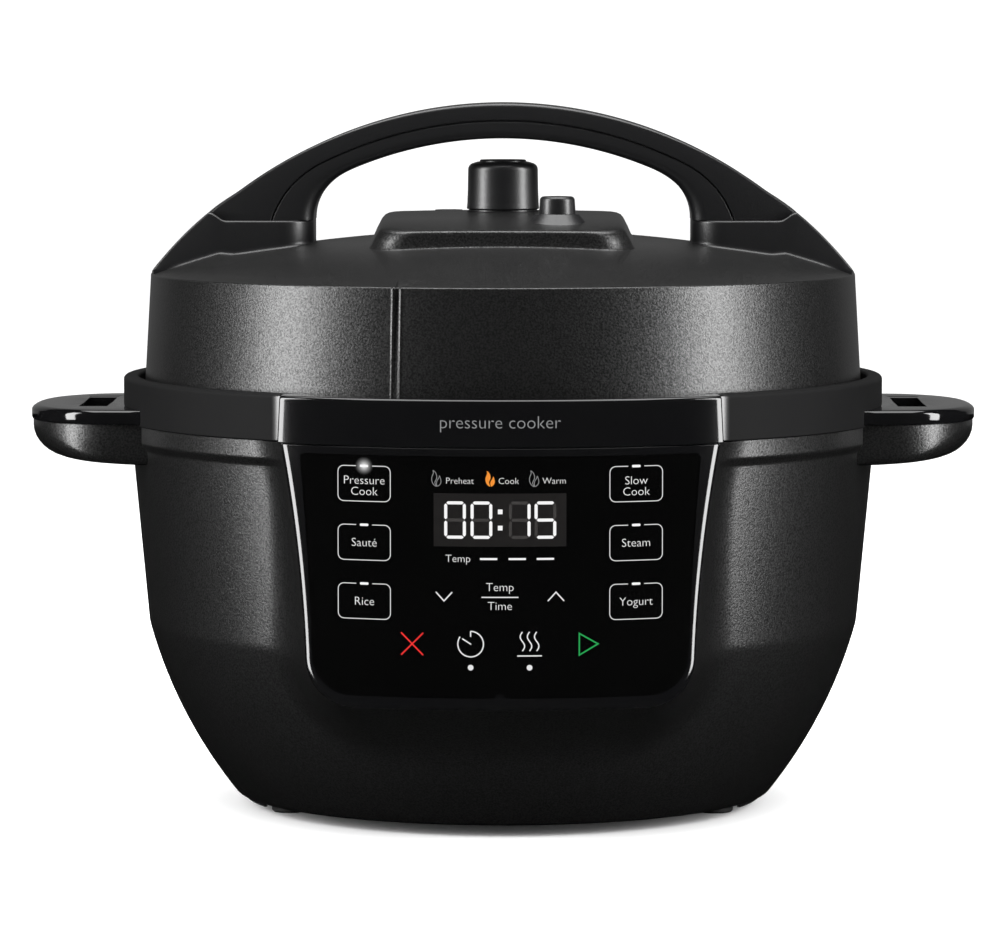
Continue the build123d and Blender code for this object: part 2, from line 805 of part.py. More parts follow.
def float_valve():
    """Pin that pressure lifts through the lid."""
    return rod(FLOAT_R, 203.0, 254.6, FLOAT_XY) + rod(5.0, 203.0, 204.4, FLOAT_XY)


def float_cap():
    return tube(FLOAT_R, 5.6, 204.4, 207.4, FLOAT_XY)


# ---- all pieces ----
def pieces():
    made = {
        "outer_shell": outer_shell(),
        "rim_ring": rim_ring(),
        "panel_bezel": panel_bezel(),
        "panel_lens": panel_lens(),
        "display_module": display_module(),
        "control_board": control_board(),
        "inner_housing": inner_housing(),
        "lock_ring": lock_ring(),
        "heater_plate": heater_plate(),
        "heater_posts": heater_posts(),
        "temperature_sensor": temperature_sensor(),
        "power_board": power_board(),
        "bottom_cover": bottom_cover(),
        "bottom_screws": bottom_screws(),
        "power_inlet": power_inlet(),
        "inlet_pins": inlet_pins(),
        "drain_spout": drain_spout(),
        "collector_cup": collector_cup(),
        "inner_pot": inner_pot(),
        "sealing_ring": sealing_ring(),
        "lid_cover": lid_cover(),
        "lid_plate": lid_plate(),
        "lid_screws": lid_screws(),
        "ring_rack": ring_rack(),
        "handle_shell": handle_shell(),
        "handle_grip": handle_grip(),
        "vent_housing": vent_housing(),
        "button_collar": button_collar(),
        "release_button": release_button(),
        "steam_pipe": steam_pipe(),
        "anti_block_shield": anti_block_shield(),
        "steam_knob": steam_knob(),
        "knob_weight": knob_weight(),
        "float_valve": float_valve(),
        "float_cap": float_cap(),
    }
    for name, side in (("left", -1), ("right", 1)):
        made[f"handle_cap_{name}"] = handle_cap(side)
        made[f"handle_grip_{name}"] = handle_grip_half(side)
        made[f"handle_root_{name}"] = handle_root(side)
        for end, (x, y) in (("front", FOOT_FRONT), ("rear", FOOT_REAR)):
            made[f"foot_{end}_{name}"] = foot(side * x, y)
    return made


if __name__ == "__main__":
    os.makedirs("parts", exist_ok=True)
    for name, piece in pieces().items():
        export_step(piece, f"parts/{name}.step")
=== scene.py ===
"""Electric pressure cooker: surfaces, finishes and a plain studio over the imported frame."""

import json
import math

import bpy
import numpy as np
from bpy.props import FloatProperty, PointerProperty, StringProperty
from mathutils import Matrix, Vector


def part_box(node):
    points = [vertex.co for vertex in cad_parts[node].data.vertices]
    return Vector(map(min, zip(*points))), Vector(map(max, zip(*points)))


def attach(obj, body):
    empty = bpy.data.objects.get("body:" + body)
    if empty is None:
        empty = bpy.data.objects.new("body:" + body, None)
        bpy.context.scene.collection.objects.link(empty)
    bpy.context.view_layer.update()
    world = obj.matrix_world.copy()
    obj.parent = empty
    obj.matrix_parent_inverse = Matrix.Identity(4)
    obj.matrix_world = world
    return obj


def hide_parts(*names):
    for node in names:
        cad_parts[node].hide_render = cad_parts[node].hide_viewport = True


bl_info = {
    "name": "Electric pressure cooker",
    "version": (1, 0, 0),
    "blender": (4, 5, 0),
    "location": "3D View > Sidebar > Cooker",
    "description": "Builds the finished surfaces of an electric pressure cooker",
    "category": "Object",
}

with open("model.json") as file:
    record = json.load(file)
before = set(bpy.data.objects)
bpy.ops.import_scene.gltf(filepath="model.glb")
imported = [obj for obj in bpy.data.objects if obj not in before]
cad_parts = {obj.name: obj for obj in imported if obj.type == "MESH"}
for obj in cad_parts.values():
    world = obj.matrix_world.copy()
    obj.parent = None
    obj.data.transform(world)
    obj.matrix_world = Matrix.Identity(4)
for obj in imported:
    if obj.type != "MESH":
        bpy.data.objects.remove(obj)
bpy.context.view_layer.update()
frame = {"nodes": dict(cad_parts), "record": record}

# Everything below is in millimetres, on the frame's axes: +Z up, front towards -Y.


def span(node):
    """Lowest and highest corner of a frame piece, in millimetres."""
    low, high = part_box(node)
    return np.array(low) * 1000.0, np.array(high) * 1000.0


SHELL_LOW, SHELL_HIGH = span("outer_shell")
RING_LOW, RING_HIGH = span("rim_ring")
BEZEL_LOW, BEZEL_HIGH = span("panel_bezel")
LENS_LOW, LENS_HIGH = span("panel_lens")
LID_LOW, LID_HIGH = span("lid_cover")
ARCH_LOW, ARCH_HIGH = span("handle_shell")
_, ROOT_HIGH = span("handle_root_right")
VENT_LOW, VENT_HIGH = span("vent_housing")
KNOB_LOW, KNOB_HIGH = span("steam_knob")
BUTTON_LOW, BUTTON_HIGH = span("release_button")
COLLAR_LOW, COLLAR_HIGH = span("button_collar")
CAP_LOW, CAP_HIGH = span("handle_cap_right")
GRIP_LOW, _ = span("handle_grip_right")
INLET_LOW, INLET_HIGH = span("power_inlet")
FLOAT_LOW, FLOAT_HIGH = span("float_valve")

RING_R = RING_HIGH[0]
RING_BORE = 158.2
TROUGH_BORE = 151.2
TROUGH_LOW, TROUGH_TOP = 171.0, 173.5
BAND_R = -RING_LOW[1]
BAND_HALF_TOP = 88.1
BAND_HALF_LOW = 89.1
BEZEL_BACK_R = BAND_R - 6.0
LENS_R = -LENS_LOW[1]
LENS_BACK_R = LENS_R - 1.5
SHOULDER_R = SHELL_HIGH[0]
WALL_TOP = (160.4, 146.5)
WALL_BREAK = (154.3, 80.0)
WALL_BELLY = (137.0, 36.2)
WALL_FOOT = (116.2, SHELL_LOW[2])
WALL_SOFT = 0.14  # how softly the taper joins the arc below it
STEP_LOW, STEP_RISE = 156.4, 4.2  # where the wall steps out to the shoulder
PANEL_EDGE_X, BAND_EDGE_X = 86.0, 92.0  # where the body and the rim need their finest columns
BOSS_HALF, POCKET_HALF = (18.0, 15.0), (15.5, 11.0)  # the inlet's, across and up
SHELL_WALL = 2.9
CREASE_R = 152.0
CREASE_Z = 231.3
DOME_TOP = LID_HIGH[2]
SKIRT_LOW_R = LID_HIGH[0]
SKIRT_TOP_R = 153.0
MARK_TURN = math.radians(-16.0)
BUTTON_AXIS = ((BUTTON_LOW + BUTTON_HIGH) / 2)[:2]
FLOAT_AXIS = ((FLOAT_LOW + FLOAT_HIGH) / 2)[:2]
FLOAT_HOLE_R = 3.45
FRONT_TURN = 1.2  # the panel and its band lie within this angle of the front
MIDDLE_T, MIDDLE_T2 = 0.5635, 0.3175  # where the panel's middle width is given
HANDLE_SPLIT = 4.9  # how far inwards the arched handle's end slants


# ---------------------------------------------------------------- properties
class CookerSizes(bpy.types.PropertyGroup):
    """Sizes that the pieces are shaped by"""

    flank: FloatProperty(
        name="Pedestal flank",
        description="Width of the hollow flank round the panel's pedestal",
        default=0.0135,
        unit="LENGTH",
    )
    lip: FloatProperty(
        name="Pedestal lip",
        description="Width of the flat lip between the panel's frame and the flank",
        default=0.0005,
        unit="LENGTH",
    )
    grain: FloatProperty(
        name="Plastic grain",
        description="Size of the moulded grain on the body and lid",
        default=0.0008,
        unit="LENGTH",
    )
    mark_depth: FloatProperty(
        name="Mark depth",
        description="Depth of the position groove on the lid's skirt",
        default=0.0009,
        unit="LENGTH",
    )
    print_line: FloatProperty(
        name="Printed line",
        description="Width of the printed key outlines",
        default=0.00031,
        unit="LENGTH",
    )


class CookerColours(bpy.types.PropertyGroup):
    """Colours of the plastics, the window and the print"""

    body: StringProperty(
        name="Body", description="Textured black of the body and lid", default="#090909"
    )
    satin: StringProperty(
        name="Satin parts", description="Smooth satin black of the handles", default="#0B0B0C"
    )
    gloss: StringProperty(
        name="Gloss trim", description="Polished black of the ring and bezel", default="#050506"
    )
    lens: StringProperty(
        name="Panel window", description="Black of the panel's window", default="#020202"
    )
    ink: StringProperty(
        name="Panel ink", description="White of the printed words and outlines", default="#E4E4E4"
    )


class StageSettings(bpy.types.PropertyGroup):
    """The camera and the studio lights"""

    distance: FloatProperty(
        name="Camera distance",
        description="From the camera to the pot's axis",
        default=2.319,
        unit="LENGTH",
    )
    height: FloatProperty(
        name="Camera height",
        description="Height of the camera over the floor",
        default=0.3325,
        unit="LENGTH",
    )
    aim: FloatProperty(
        name="Aim height",
        description="Height on the pot's axis that the camera looks at",
        default=0.1446,
        unit="LENGTH",
    )
    lens: FloatProperty(
        name="Focal length", description="Of the camera, in millimetres", default=191.7
    )
    strip: FloatProperty(
        name="Strip light",
        description="Brightness of each tall side light's face",
        default=24.0,
    )
    fill: FloatProperty(
        name="Top light", description="Brightness of the overhead light's face", default=7.0
    )
    back: FloatProperty(
        name="Back light", description="Brightness of the wide light behind the object", default=0.2
    )
    aside: FloatProperty(
        name="Camera aside",
        description="How far the camera stands to the right of the pot's axis",
        default=0.0164,
        unit="LENGTH",
    )


def sizes():
    """The scene's cooker sizes."""
    return bpy.context.scene.cooker_sizes


def colours():
    """The scene's cooker colours."""
    return bpy.context.scene.cooker_colours


def mm(length):
    """A property's length in millimetres."""
    return length * 1000.0


# ---------------------------------------------------------------- finishes
def linear(code):
    """An sRGB hex colour as linear red, green, blue and alpha."""
    values = [int(code[i : i + 2], 16) / 255.0 for i in (1, 3, 5)]
    return [v / 12.92 if v <= 0.04045 else ((v + 0.055) / 1.055) ** 2.4 for v in values] + [1.0]


def add_node(tree, kind, values=None, links=None, **options):
    """One node with its options, socket values and incoming links."""
    node = tree.nodes.new(kind)
    for name, value in options.items():
        setattr(node, name, value)
    for name, value in (values or {}).items():
        node.inputs[name].default_value = value
    for name, source in (links or {}).items():
        tree.links.new(source, node.inputs[name])
    return node


def new_finish(name, shader_values, build=None):
    """A material with one principled shader; build may add what drives its sockets."""
    material = bpy.data.materials.get(name)
    if material:
        return material
    material = bpy.data.materials.new(name)
    material.use_nodes = True
    tree = material.node_tree
    shader = tree.nodes["Principled BSDF"]
    for key, value in shader_values.items():
        shader.inputs[key].default_value = value
    if build:
        build(tree, shader)
    return material


def emboss(tree, shader, source, strength, depth):
    """Lifts the shaded surface by a source, up to a depth in metres."""
    how = {"Strength": strength, "Distance": depth}
    bump = add_node(tree, "ShaderNodeBump", how, {"Height": source})
    tree.links.new(bump.outputs["Normal"], shader.inputs["Normal"])


def drive(tree, shader, socket, source, to, within=(0.0, 1.0)):
    """Sends a source to a socket of the shader, mapped from one range onto another."""
    ends = {"From Min": within[0], "From Max": within[1], "To Min": to[0], "To Max": to[1]}
    mapped = add_node(tree, "ShaderNodeMapRange", ends, {"Value": source})
    tree.links.new(mapped.outputs["Result"], shader.inputs[socket])


def tint_between(tree, shader, factor, low, high):
    """Base colour that drifts between two hex colours with a factor."""
    ends = {"A": linear(low), "B": linear(high)}
    mix = add_node(tree, "ShaderNodeMix", ends, {"Factor": factor}, data_type="RGBA")
    tree.links.new(mix.outputs["Result"], shader.inputs["Base Color"])


def tones(code, share):
    """A hex colour, and the same moved a share of the way to white."""
    parts = [int(code[i : i + 2], 16) for i in (1, 3, 5)]
    return code, "#" + "".join(f"{round(p + (255 - p) * share):02X}" for p in parts)


def moulded(name, ends, gloss, grain, values, extra=None):
    """A finish whose grain lifts it and drifts its colour and roughness between two ends.

    The grain is given as its size, strength and depth in metres; extra may add more nodes.
    """

    def build(tree, shader):
        """Adds the grain, noise of one size, and what it drives."""
        size, strength, depth = grain
        place = add_node(tree, "ShaderNodeTexCoord").outputs["Object"]
        noise = {"Scale": 1.0 / size, "Detail": 2.0, "Roughness": 0.6}
        fac = add_node(tree, "ShaderNodeTexNoise", noise, {"Vector": place}).outputs["Fac"]
        emboss(tree, shader, fac, strength, depth)
        if gloss:
            drive(tree, shader, "Roughness", fac, gloss)
        tint_between(tree, shader, fac, *ends)
        if extra:
            extra(tree, shader, place, fac)

    return new_finish(name, values, build)


def textured_abs():
    """Spark-eroded black ABS: a fine matt grain that glitters where the light is skimmed."""

    def pits(tree, shader, place, fac):
        """Makes the grain's tips mirror more than its pits."""
        drive(tree, shader, "Specular IOR Level", fac, (0.26, 0.7), (0.36, 0.64))

    ends = tones(colours().body, 0.012)
    grain = (sizes().grain, 0.8, 0.00012)
    return moulded("textured_black_abs", ends, (0.25, 0.45), grain, {"IOR": 1.50}, pits)


def satin_abs():
    """Smooth satin black ABS: a soft sheen with only a faint orange peel."""
    ends = tones(colours().satin, 0.015)
    grain = (sizes().grain * 0.8, 0.4, 0.00008)
    return moulded("satin_black_abs", ends, (0.28, 0.44), grain, {"IOR": 1.50})


GLOSS_WAVE = (0.018, 0.05, 0.0002)
BAND_BACK = (-0.1374, -0.1354)  # Y over which the trim turns from gloss to satin, in metres


def polished_abs():
    """Polished black ABS: mirror-like, with the slow waves of a moulded gloss part."""
    ends = tones(colours().gloss, 0.01)
    values = {"IOR": 1.52, "Specular IOR Level": 0.32}
    return moulded("polished_black_abs", ends, (0.07, 0.10), GLOSS_WAVE, values)


def two_tone_trim():
    """Trim moulded in one piece: its front band is polished and the rest of it is satin."""

    def dulled(tree, shader, place, fac):
        """Turns the gloss to satin over a short way behind the band's ends."""
        depth = add_node(tree, "ShaderNodeSeparateXYZ", links={"Vector": place}).outputs["Y"]
        drive(tree, shader, "Roughness", depth, (0.09, 0.7), BAND_BACK)
        drive(tree, shader, "Specular IOR Level", depth, (0.3, 0.12), BAND_BACK)

    ends = tones(colours().gloss, 0.01)
    return moulded("polished_and_satin_trim", ends, None, GLOSS_WAVE, {"IOR": 1.52}, dulled)


def window_acrylic():
    """Black-backed acrylic window: deep black under a clear, flat gloss."""
    ends = tones(colours().lens, 0.004)
    grain = (0.030, 0.02, 0.0002)
    return moulded("smoked_acrylic_window", ends, (0.03, 0.06), grain, {"IOR": 1.49})


def brushed_stainless():
    """Brushed stainless steel: hairlines round the pot's axis stretch the highlights."""

    def build(tree, shader):
        """Adds noise squeezed along Z, so that it lies in fine level lines."""
        place = add_node(tree, "ShaderNodeTexCoord").outputs["Object"]
        squeeze = {"Scale": (60.0, 60.0, 3000.0)}
        level = add_node(tree, "ShaderNodeMapping", squeeze, {"Vector": place}).outputs["Vector"]
        noise = {"Scale": 1.0, "Detail": 4.0}
        lines = add_node(tree, "ShaderNodeTexNoise", noise, {"Vector": level}).outputs["Fac"]
        emboss(tree, shader, lines, 0.15, 0.00005)
        drive(tree, shader, "Roughness", lines, (0.2, 0.38))
        tint_between(tree, shader, lines, "#BDBDBB", "#D2D2D0")

    return new_finish("brushed_stainless_steel", {"Metallic": 1.0}, build)


def plain_finish(name, low, high, roughness, grain_size, **values):
    """A finish whose grain only drifts its colour and gloss a little."""
    return moulded(name, (low, high), roughness, (grain_size, 0.2, 0.0001), values)


def cast_aluminium():
    """Die-cast aluminium, turned on its top face: a dull grey metal."""
    return plain_finish("cast_aluminium", "#A4A5A7", "#BCBDBE", (0.35, 0.5), 0.0015, Metallic=1.0)


def pressed_aluminium():
    """Pressed aluminium sheet of the well: brighter and smoother than the casting."""
    name = "pressed_aluminium_sheet"
    return plain_finish(name, "#B9BABC", "#CBCCCD", (0.25, 0.4), 0.003, Metallic=1.0)


def plated_brass():
    """Nickel-plated brass of the inlet's pins."""
    return plain_finish("plated_brass", "#C9B277", "#DCCB95", (0.2, 0.3), 0.002, Metallic=1.0)


def grey_silicone():
    """Moulded silicone: milky grey, soft and slightly clouded."""
    return plain_finish("moulded_silicone", "#B4B5B7", "#C6C7C8", (0.4, 0.55), 0.004, IOR=1.41)


def foot_rubber():
    """Black rubber: matt, with dust-sized grain."""
    return plain_finish("black_rubber", "#0E0E0E", "#181818", (0.7, 0.85), 0.0012, IOR=1.52)


def board_mask():
    """Glass-epoxy circuit board under green solder mask."""
    return plain_finish("green_solder_mask", "#0E3B1F", "#15512C", (0.3, 0.45), 0.002, IOR=1.55)


def smoked_cup():
    """Smoked polycarbonate of the condensation cup, nearly black in depth."""
    return plain_finish("smoked_polycarbonate", "#1A1A1C", "#222225", (0.12, 0.2), 0.01, IOR=1.58)


def display_face():
    """Dark diffuser film over the clock's segments, a warm grey black."""
    return plain_finish("display_diffuser", "#0C0A0A", "#110F0E", (0.3, 0.4), 0.004, IOR=1.49)


def ghost_segments():
    """Unlit segments that show faintly through the diffuser."""
    return plain_finish("unlit_segments", "#201E1D", "#262423", (0.35, 0.45), 0.003, IOR=1.49)


def lit(name, code):
    """Light given off by a surface that is dark unlit, coloured and even. For the clock's segments,
    key bars and marks it stands for a lamp behind the film. On the print it is painted light: a
    glow that makes the ink look bright with no lamp behind it.
    """
    values = {"Emission Color": linear(code), "Emission Strength": 1.0}
    return moulded(name, ("#060606", "#0A0A0A"), (0.4, 0.5), (0.001, 0.02, 0.00002), values)


def glow(name, code, x, z, radius):
    """Halo of light spilt round a lamp: it fades out from a place in the front view."""

    def halo(tree, shader, place, fac):
        """Adds a ball of light that fades by a power of the distance from its middle."""
        spread = 1000.0 / radius
        here = {"Location": (-x / radius, 0, -z / radius), "Scale": (spread, 0, spread)}
        mapped = add_node(tree, "ShaderNodeMapping", here, {"Vector": place}).outputs["Vector"]
        ball = add_node(
            tree, "ShaderNodeTexGradient", links={"Vector": mapped}, gradient_type="SPHERICAL"
        )
        power = {"operation": "POWER"}
        fade = add_node(tree, "ShaderNodeMath", {1: 2.2}, {0: ball.outputs["Fac"]}, **power)
        tree.links.new(fade.outputs["Value"], shader.inputs["Emission Strength"])

    values = {"Emission Color": linear(code), "IOR": 1.49}
    grain = (0.03, 0.02, 0.0002)
    return moulded(name, ("#020202", "#040404"), (0.03, 0.06), grain, values, halo)


# ---------------------------------------------------------------- shapes
def rounded(corners, steps=5, closed=True):
    """Polyline through corners (a, b, radius), each turned by an arc, with a point held near it.

    An arc of radius r at a corner of half angle h starts r / tan(h) away from it.
    """
    points = np.array([c[:2] for c in corners], float)
    radii = [c[2] for c in corners]
    count = len(points)
    path = []
    for i in range(count):
        here, radius = points[i], radii[i]
        if radius <= 0 or (not closed and i in (0, count - 1)):
            path.append(here[None])
            continue
        before, after = points[i - 1] - here, points[(i + 1) % count] - here
        room = min(np.linalg.norm(before), np.linalg.norm(after))
        u, v = before / np.linalg.norm(before), after / np.linalg.norm(after)
        half = math.acos(np.clip(u @ v, -1, 1)) / 2
        reach = min(radius / math.tan(half), room * 0.48)
        radius = reach * math.tan(half)
        centre = here + (u + v) / np.linalg.norm(u + v) * radius / math.sin(half)
        start, end = here + u * reach - centre, here + v * reach - centre
        sweep = math.pi - 2 * half
        t = np.linspace(0, 1, steps)[:, None]
        arc = (start * np.sin((1 - t) * sweep) + end * np.sin(t * sweep)) / math.sin(sweep)
        hold = min(reach * 1.35, room * 0.5)
        path.append(here + u * hold)
        path.append(centre + arc)
        path.append(here + v * hold)
    return np.vstack([np.atleast_2d(p) for p in path])


def weave(grid, ring=False):
    """Closed shell of a grid of rows of points, each row joined into a loop.

    A ring also joins the last row to the first; otherwise both are closed by a fan about
    their middle.
    """
    index = np.arange(grid.shape[0] * grid.shape[1]).reshape(grid.shape[:2])
    index = np.hstack([index, index[:, :1]])
    if ring:
        index = np.vstack([index, index[:1]])
    quads = np.stack([index[:-1, :-1], index[:-1, 1:], index[1:, 1:], index[1:, :-1]], -1)
    points, fans = grid.reshape(-1, 3), [np.empty((0, 3), int)]
    if not ring:
        for row, turn in ((index[0], 1), (index[-1], -1)):
            fan = np.stack([row[1:], row[:-1], np.full(len(row) - 1, len(points))], -1)
            fans.append(fan[:, ::turn])
            points = np.vstack([points, points[row[:-1]].mean(0)])
    return outward(points, quads.reshape(-1, 4), np.vstack(fans))


def outward(points, quads, threes):
    """A shell (points, corners, corner counts) whose faces look out of the volume it closes.

    The sum over all triangles of a . (b x c) is six times that volume, with its sign.
    """
    cut = np.vstack([quads[:, :3], quads[:, [0, 2, 3]], threes])
    a, b, c = (points[cut[:, i]] for i in range(3))
    step = -1 if np.einsum("ij,ij->i", a, np.cross(b, c)).sum() < 0 else 1
    corners = np.concatenate([quads[:, ::step].ravel(), threes[:, ::step].ravel()])
    return points, corners, np.repeat([4, 3], [len(quads), len(threes)])


def piece(name, shells, body, finish, slot, replaces=(), sharp=38.0):
    """One mesh object from a list of shells, riding on a body; an error if it has no shape."""
    points, corners, counts = zip(*shells)
    starts = np.cumsum([0, *map(len, points)])
    corners = np.concatenate([part + start for part, start in zip(corners, starts)])
    points, counts = np.vstack(points) * 0.001, np.concatenate(counts)
    if not len(counts) or not np.isfinite(points).all():
        raise RuntimeError(f"{name} could not be shaped")
    mesh = bpy.data.meshes.new(name)
    mesh.vertices.add(len(points))
    mesh.loops.add(len(corners))
    mesh.polygons.add(len(counts))
    mesh.vertices.foreach_set("co", points.astype(np.float32).ravel())
    mesh.polygons.foreach_set("loop_start", (np.cumsum(counts) - counts).astype(np.int32))
    mesh.loops.foreach_set("vertex_index", corners.astype(np.int32))
    mesh.polygons.foreach_set("use_smooth", np.ones(len(counts), bool))
    mesh.update(calc_edges=True)
    mesh.set_sharp_from_angle(angle=math.radians(sharp))
    mesh.materials.append(finish)
    obj = bpy.data.objects.new(name, mesh)
    bpy.context.scene.collection.objects.link(obj)
    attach(obj, body)
    if replaces:
        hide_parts(*replaces)
    return obj


def turned(profile, segments=128, at=(0.0, 0.0), ring=False):
    """Surface of revolution: each (radius, z) of the profile becomes a circle about an axis."""
    turn = np.linspace(0, 2 * math.pi, segments, endpoint=False)
    r, z = np.maximum(profile[:, :1], 0.02), profile[:, 1:]
    flat = np.zeros_like(turn)
    grid = np.stack([at[0] + r * np.cos(turn), at[1] + r * np.sin(turn), z + flat], -1)
    return weave(grid, ring=ring)


def crowded(centres, reach, count, boost):
    """Angles round an axis, closer together near some centres.

    They cut into equal shares the running sum of a density of one plus a bell at each centre.
    """
    base = np.linspace(-math.pi, math.pi, 6001)
    density = np.ones_like(base)
    for centre in centres:
        density += boost * np.exp(-(((base - centre) / reach) ** 2))
    total = np.cumsum(density)
    total = (total - total[0]) / (total[-1] - total[0])
    return np.interp(np.linspace(0, 1, count, endpoint=False), total, base)


def ease(t):
    """Smooth step from 0 to 1."""
    t = np.clip(t, 0.0, 1.0)
    return t * t * (3 - 2 * t)


def on_front(radius, turn, z):
    """Point at an angle from the front, at a radius and a height."""
    return np.stack(np.broadcast_arrays(radius * np.sin(turn), -radius * np.cos(turn), z), -1)


# ---------------------------------------------------------------- panel outlines
def half_width(z, low_z, high_z, low, middle, high):
    """Half width of the panel at a height: a parabola through its foot, middle and top."""
    t = (z - low_z) / (high_z - low_z)
    bulge = (middle - low - MIDDLE_T2 * (high - low)) / (MIDDLE_T - MIDDLE_T2)
    b = (high - low) - bulge
    a = (high - low) - b
    return low + a * t + b * t * t


BEZEL_SHAPE = (90.0, 84.0, 80.0, BEZEL_HIGH[2], BEZEL_LOW[2], 20.0, 0.8)
LENS_SHAPE = (82.0, 79.2, 77.0, LENS_HIGH[2], LENS_LOW[2], 16.0, 2.0)


def panel_loop(shape, inset=0.0):
    """Closed front-view outline of the panel, moved inwards by an inset.

    From the top's middle to the right, down the curved side, round the corner and back.
    """
    top, middle, low, z_top, z_low, corner, top_corner = shape
    top, middle, low = top - inset, middle - inset, low - inset
    z_top, z_low = z_top - inset, z_low + inset
    corner, top_corner = max(corner - inset, 0.6), max(top_corner - inset, 0.25)
    bend_z = z_low + corner
    side_z = np.linspace(z_top - top_corner, bend_z, 40)
    side_x = half_width(side_z, bend_z, z_top, low, middle, top)
    top_turn = np.linspace(math.pi / 2, 0.05, 6)
    low_turn = np.linspace(-0.05, -math.pi / 2, 14)
    top_x = side_x[0] - top_corner + top_corner * np.cos(top_turn)
    top_z = z_top - top_corner + top_corner * np.sin(top_turn)
    low_x = low - corner + corner * np.cos(low_turn)
    low_zs = bend_z + corner * np.sin(low_turn)
    across = np.linspace(0, 1, 26)[:-1]
    right_x = np.concatenate(
        [across * top_x[0], top_x, side_x, low_x, low_x[-1] * (1 - across)[1:], [0.0]]
    )
    right_z = np.concatenate(
        [np.full(25, z_top), top_z, side_z, low_zs, np.full(24, z_low), [z_low]]
    )
    x = np.concatenate([right_x, -right_x[-2:0:-1]])
    z = np.concatenate([right_z, right_z[-2:0:-1]])
    return np.stack([x, z], -1)


def on_cylinder(loop, radius):
    """Front-view points pushed back onto an upright cylinder about the pot's axis."""
    x, z = loop[..., 0], loop[..., 1]
    return np.stack([x, -np.sqrt(radius**2 - x**2), z], -1)


# ---------------------------------------------------------------- base
def circle_through(a, b, c):
    """Centre and radius of the circle through three points."""
    (ax, ay), (bx, by), (cx, cy) = a, b, c
    d = 2 * (ax * (by - cy) + bx * (cy - ay) + cx * (ay - by))
    aa, bb, cc = ax**2 + ay**2, bx**2 + by**2, cx**2 + cy**2
    x = (aa * (by - cy) + bb * (cy - ay) + cc * (ay - by)) / d
    y = (aa * (cx - bx) + bb * (ax - cx) + cc * (bx - ax)) / d
    return x, y, math.hypot(ax - x, ay - y)


def wall_radius(z):
    """Body radius: a straight taper and an arc below it, softly joined, and the shoulder."""
    slope = (WALL_TOP[0] - WALL_BREAK[0]) / (WALL_TOP[1] - WALL_BREAK[1])
    taper = WALL_BREAK[0] + slope * (z - WALL_BREAK[1])
    x, y, r = circle_through(WALL_BREAK, WALL_BELLY, WALL_FOOT)
    belly = x + np.sqrt(np.maximum(r * r - (z - y) ** 2, 1.0))
    belly = np.where(z > WALL_BREAK[1] + 25, belly + 20, belly)
    wall = -WALL_SOFT * np.logaddexp(-taper / WALL_SOFT, -belly / WALL_SOFT)
    return wall + (SHOULDER_R - wall) * ease((z - STEP_LOW) / STEP_RISE)


def outline_distance(x, z):
    """How far a front-view point lies outside the panel's frame; below zero inside."""
    top, middle, low, z_top, z_low, corner, _ = BEZEL_SHAPE
    half = half_width(np.clip(z, z_low + corner, z_top), z_low + corner, z_top, low, middle, top)
    dx = np.abs(x) - (half - corner)
    dz = (z_low + corner) - z
    outside = np.hypot(np.maximum(dx, 0), np.maximum(dz, 0))
    return outside + np.minimum(np.maximum(dx, dz), 0) - corner


def body_surface():
    """The moulded body: radius as a function of the angle from the front and of height.

    The wall's radius rises to the panel's pedestal, with a hollow flank that falls off as the
    square of the distance from its lip, and to the flat boss round the inlet at the back.
    """
    lip, flank = mm(sizes().lip), mm(sizes().flank)
    foot = WALL_FOOT[1]
    edge_turn = math.asin(PANEL_EDGE_X / BAND_R)
    turn = crowded((-edge_turn, edge_turn), 0.13, 470, 7.0)
    runs = [(foot + 1.2, 37.0, 20), (38.0, 66.0, 44), (68.0, 76.0, 6), (77.5, 82.5, 14)]
    runs += [(84.0, 155.0, 32), (156.2, 161.0, 12), (162.5, SHELL_HIGH[2], 4)]
    rise = np.concatenate([np.linspace(*run) for run in runs])
    inside = [(foot + 0.4, 0.25), (foot, 1.1), (foot, SHELL_WALL - 0.4), (foot + 0.8, SHELL_WALL)]
    inside += [(z, SHELL_WALL) for z in np.linspace(20.0, SHELL_HIGH[2], 9)]
    outside = np.stack([rise[::-1], np.zeros(len(rise))], -1)
    z, inset = np.hsplit(np.vstack([outside, inside]), 2)
    wall = wall_radius(z)
    lift = outline_distance((BAND_R - 2.4) * np.sin(turn)[None], z)
    lift = np.where(np.abs(turn)[None] < FRONT_TURN, lift, 99.0)
    wide = flank * (1.2 + 0.85 * np.clip((150.0 - z) / 73.0, 0, 1))
    share = (1 - np.clip((lift - lip) / wide, 0, 1)) ** 2
    radius = wall + (BAND_R - 3.2 - wall) * share
    radius = boss_radius(radius, turn[None], z)
    return weave(on_front(radius - inset, turn[None], z), ring=True)


def boss_radius(radius, turn, z):
    """Adds the inlet's flat boss at the back, with a pocket where the inlet sits."""
    face = INLET_HIGH[1] - 2.0
    middle = (INLET_LOW[2] + INLET_HIGH[2]) / 2
    back = np.maximum(-np.cos(turn), 0.2)
    x = np.abs(np.sin(turn)) * face
    reach = np.maximum(x - BOSS_HALF[0], np.abs(z - middle) - BOSS_HALF[1])
    boss = np.maximum(radius, face / back)
    radius = radius + (boss - radius) * ease(1 - reach / 5.0) * (back > 0.5)
    pocket = (x < POCKET_HALF[0]) & (np.abs(z - middle) < POCKET_HALF[1]) & (back > 0.5)
    return np.where(pocket, (INLET_LOW[1] - 0.3) / back, radius)


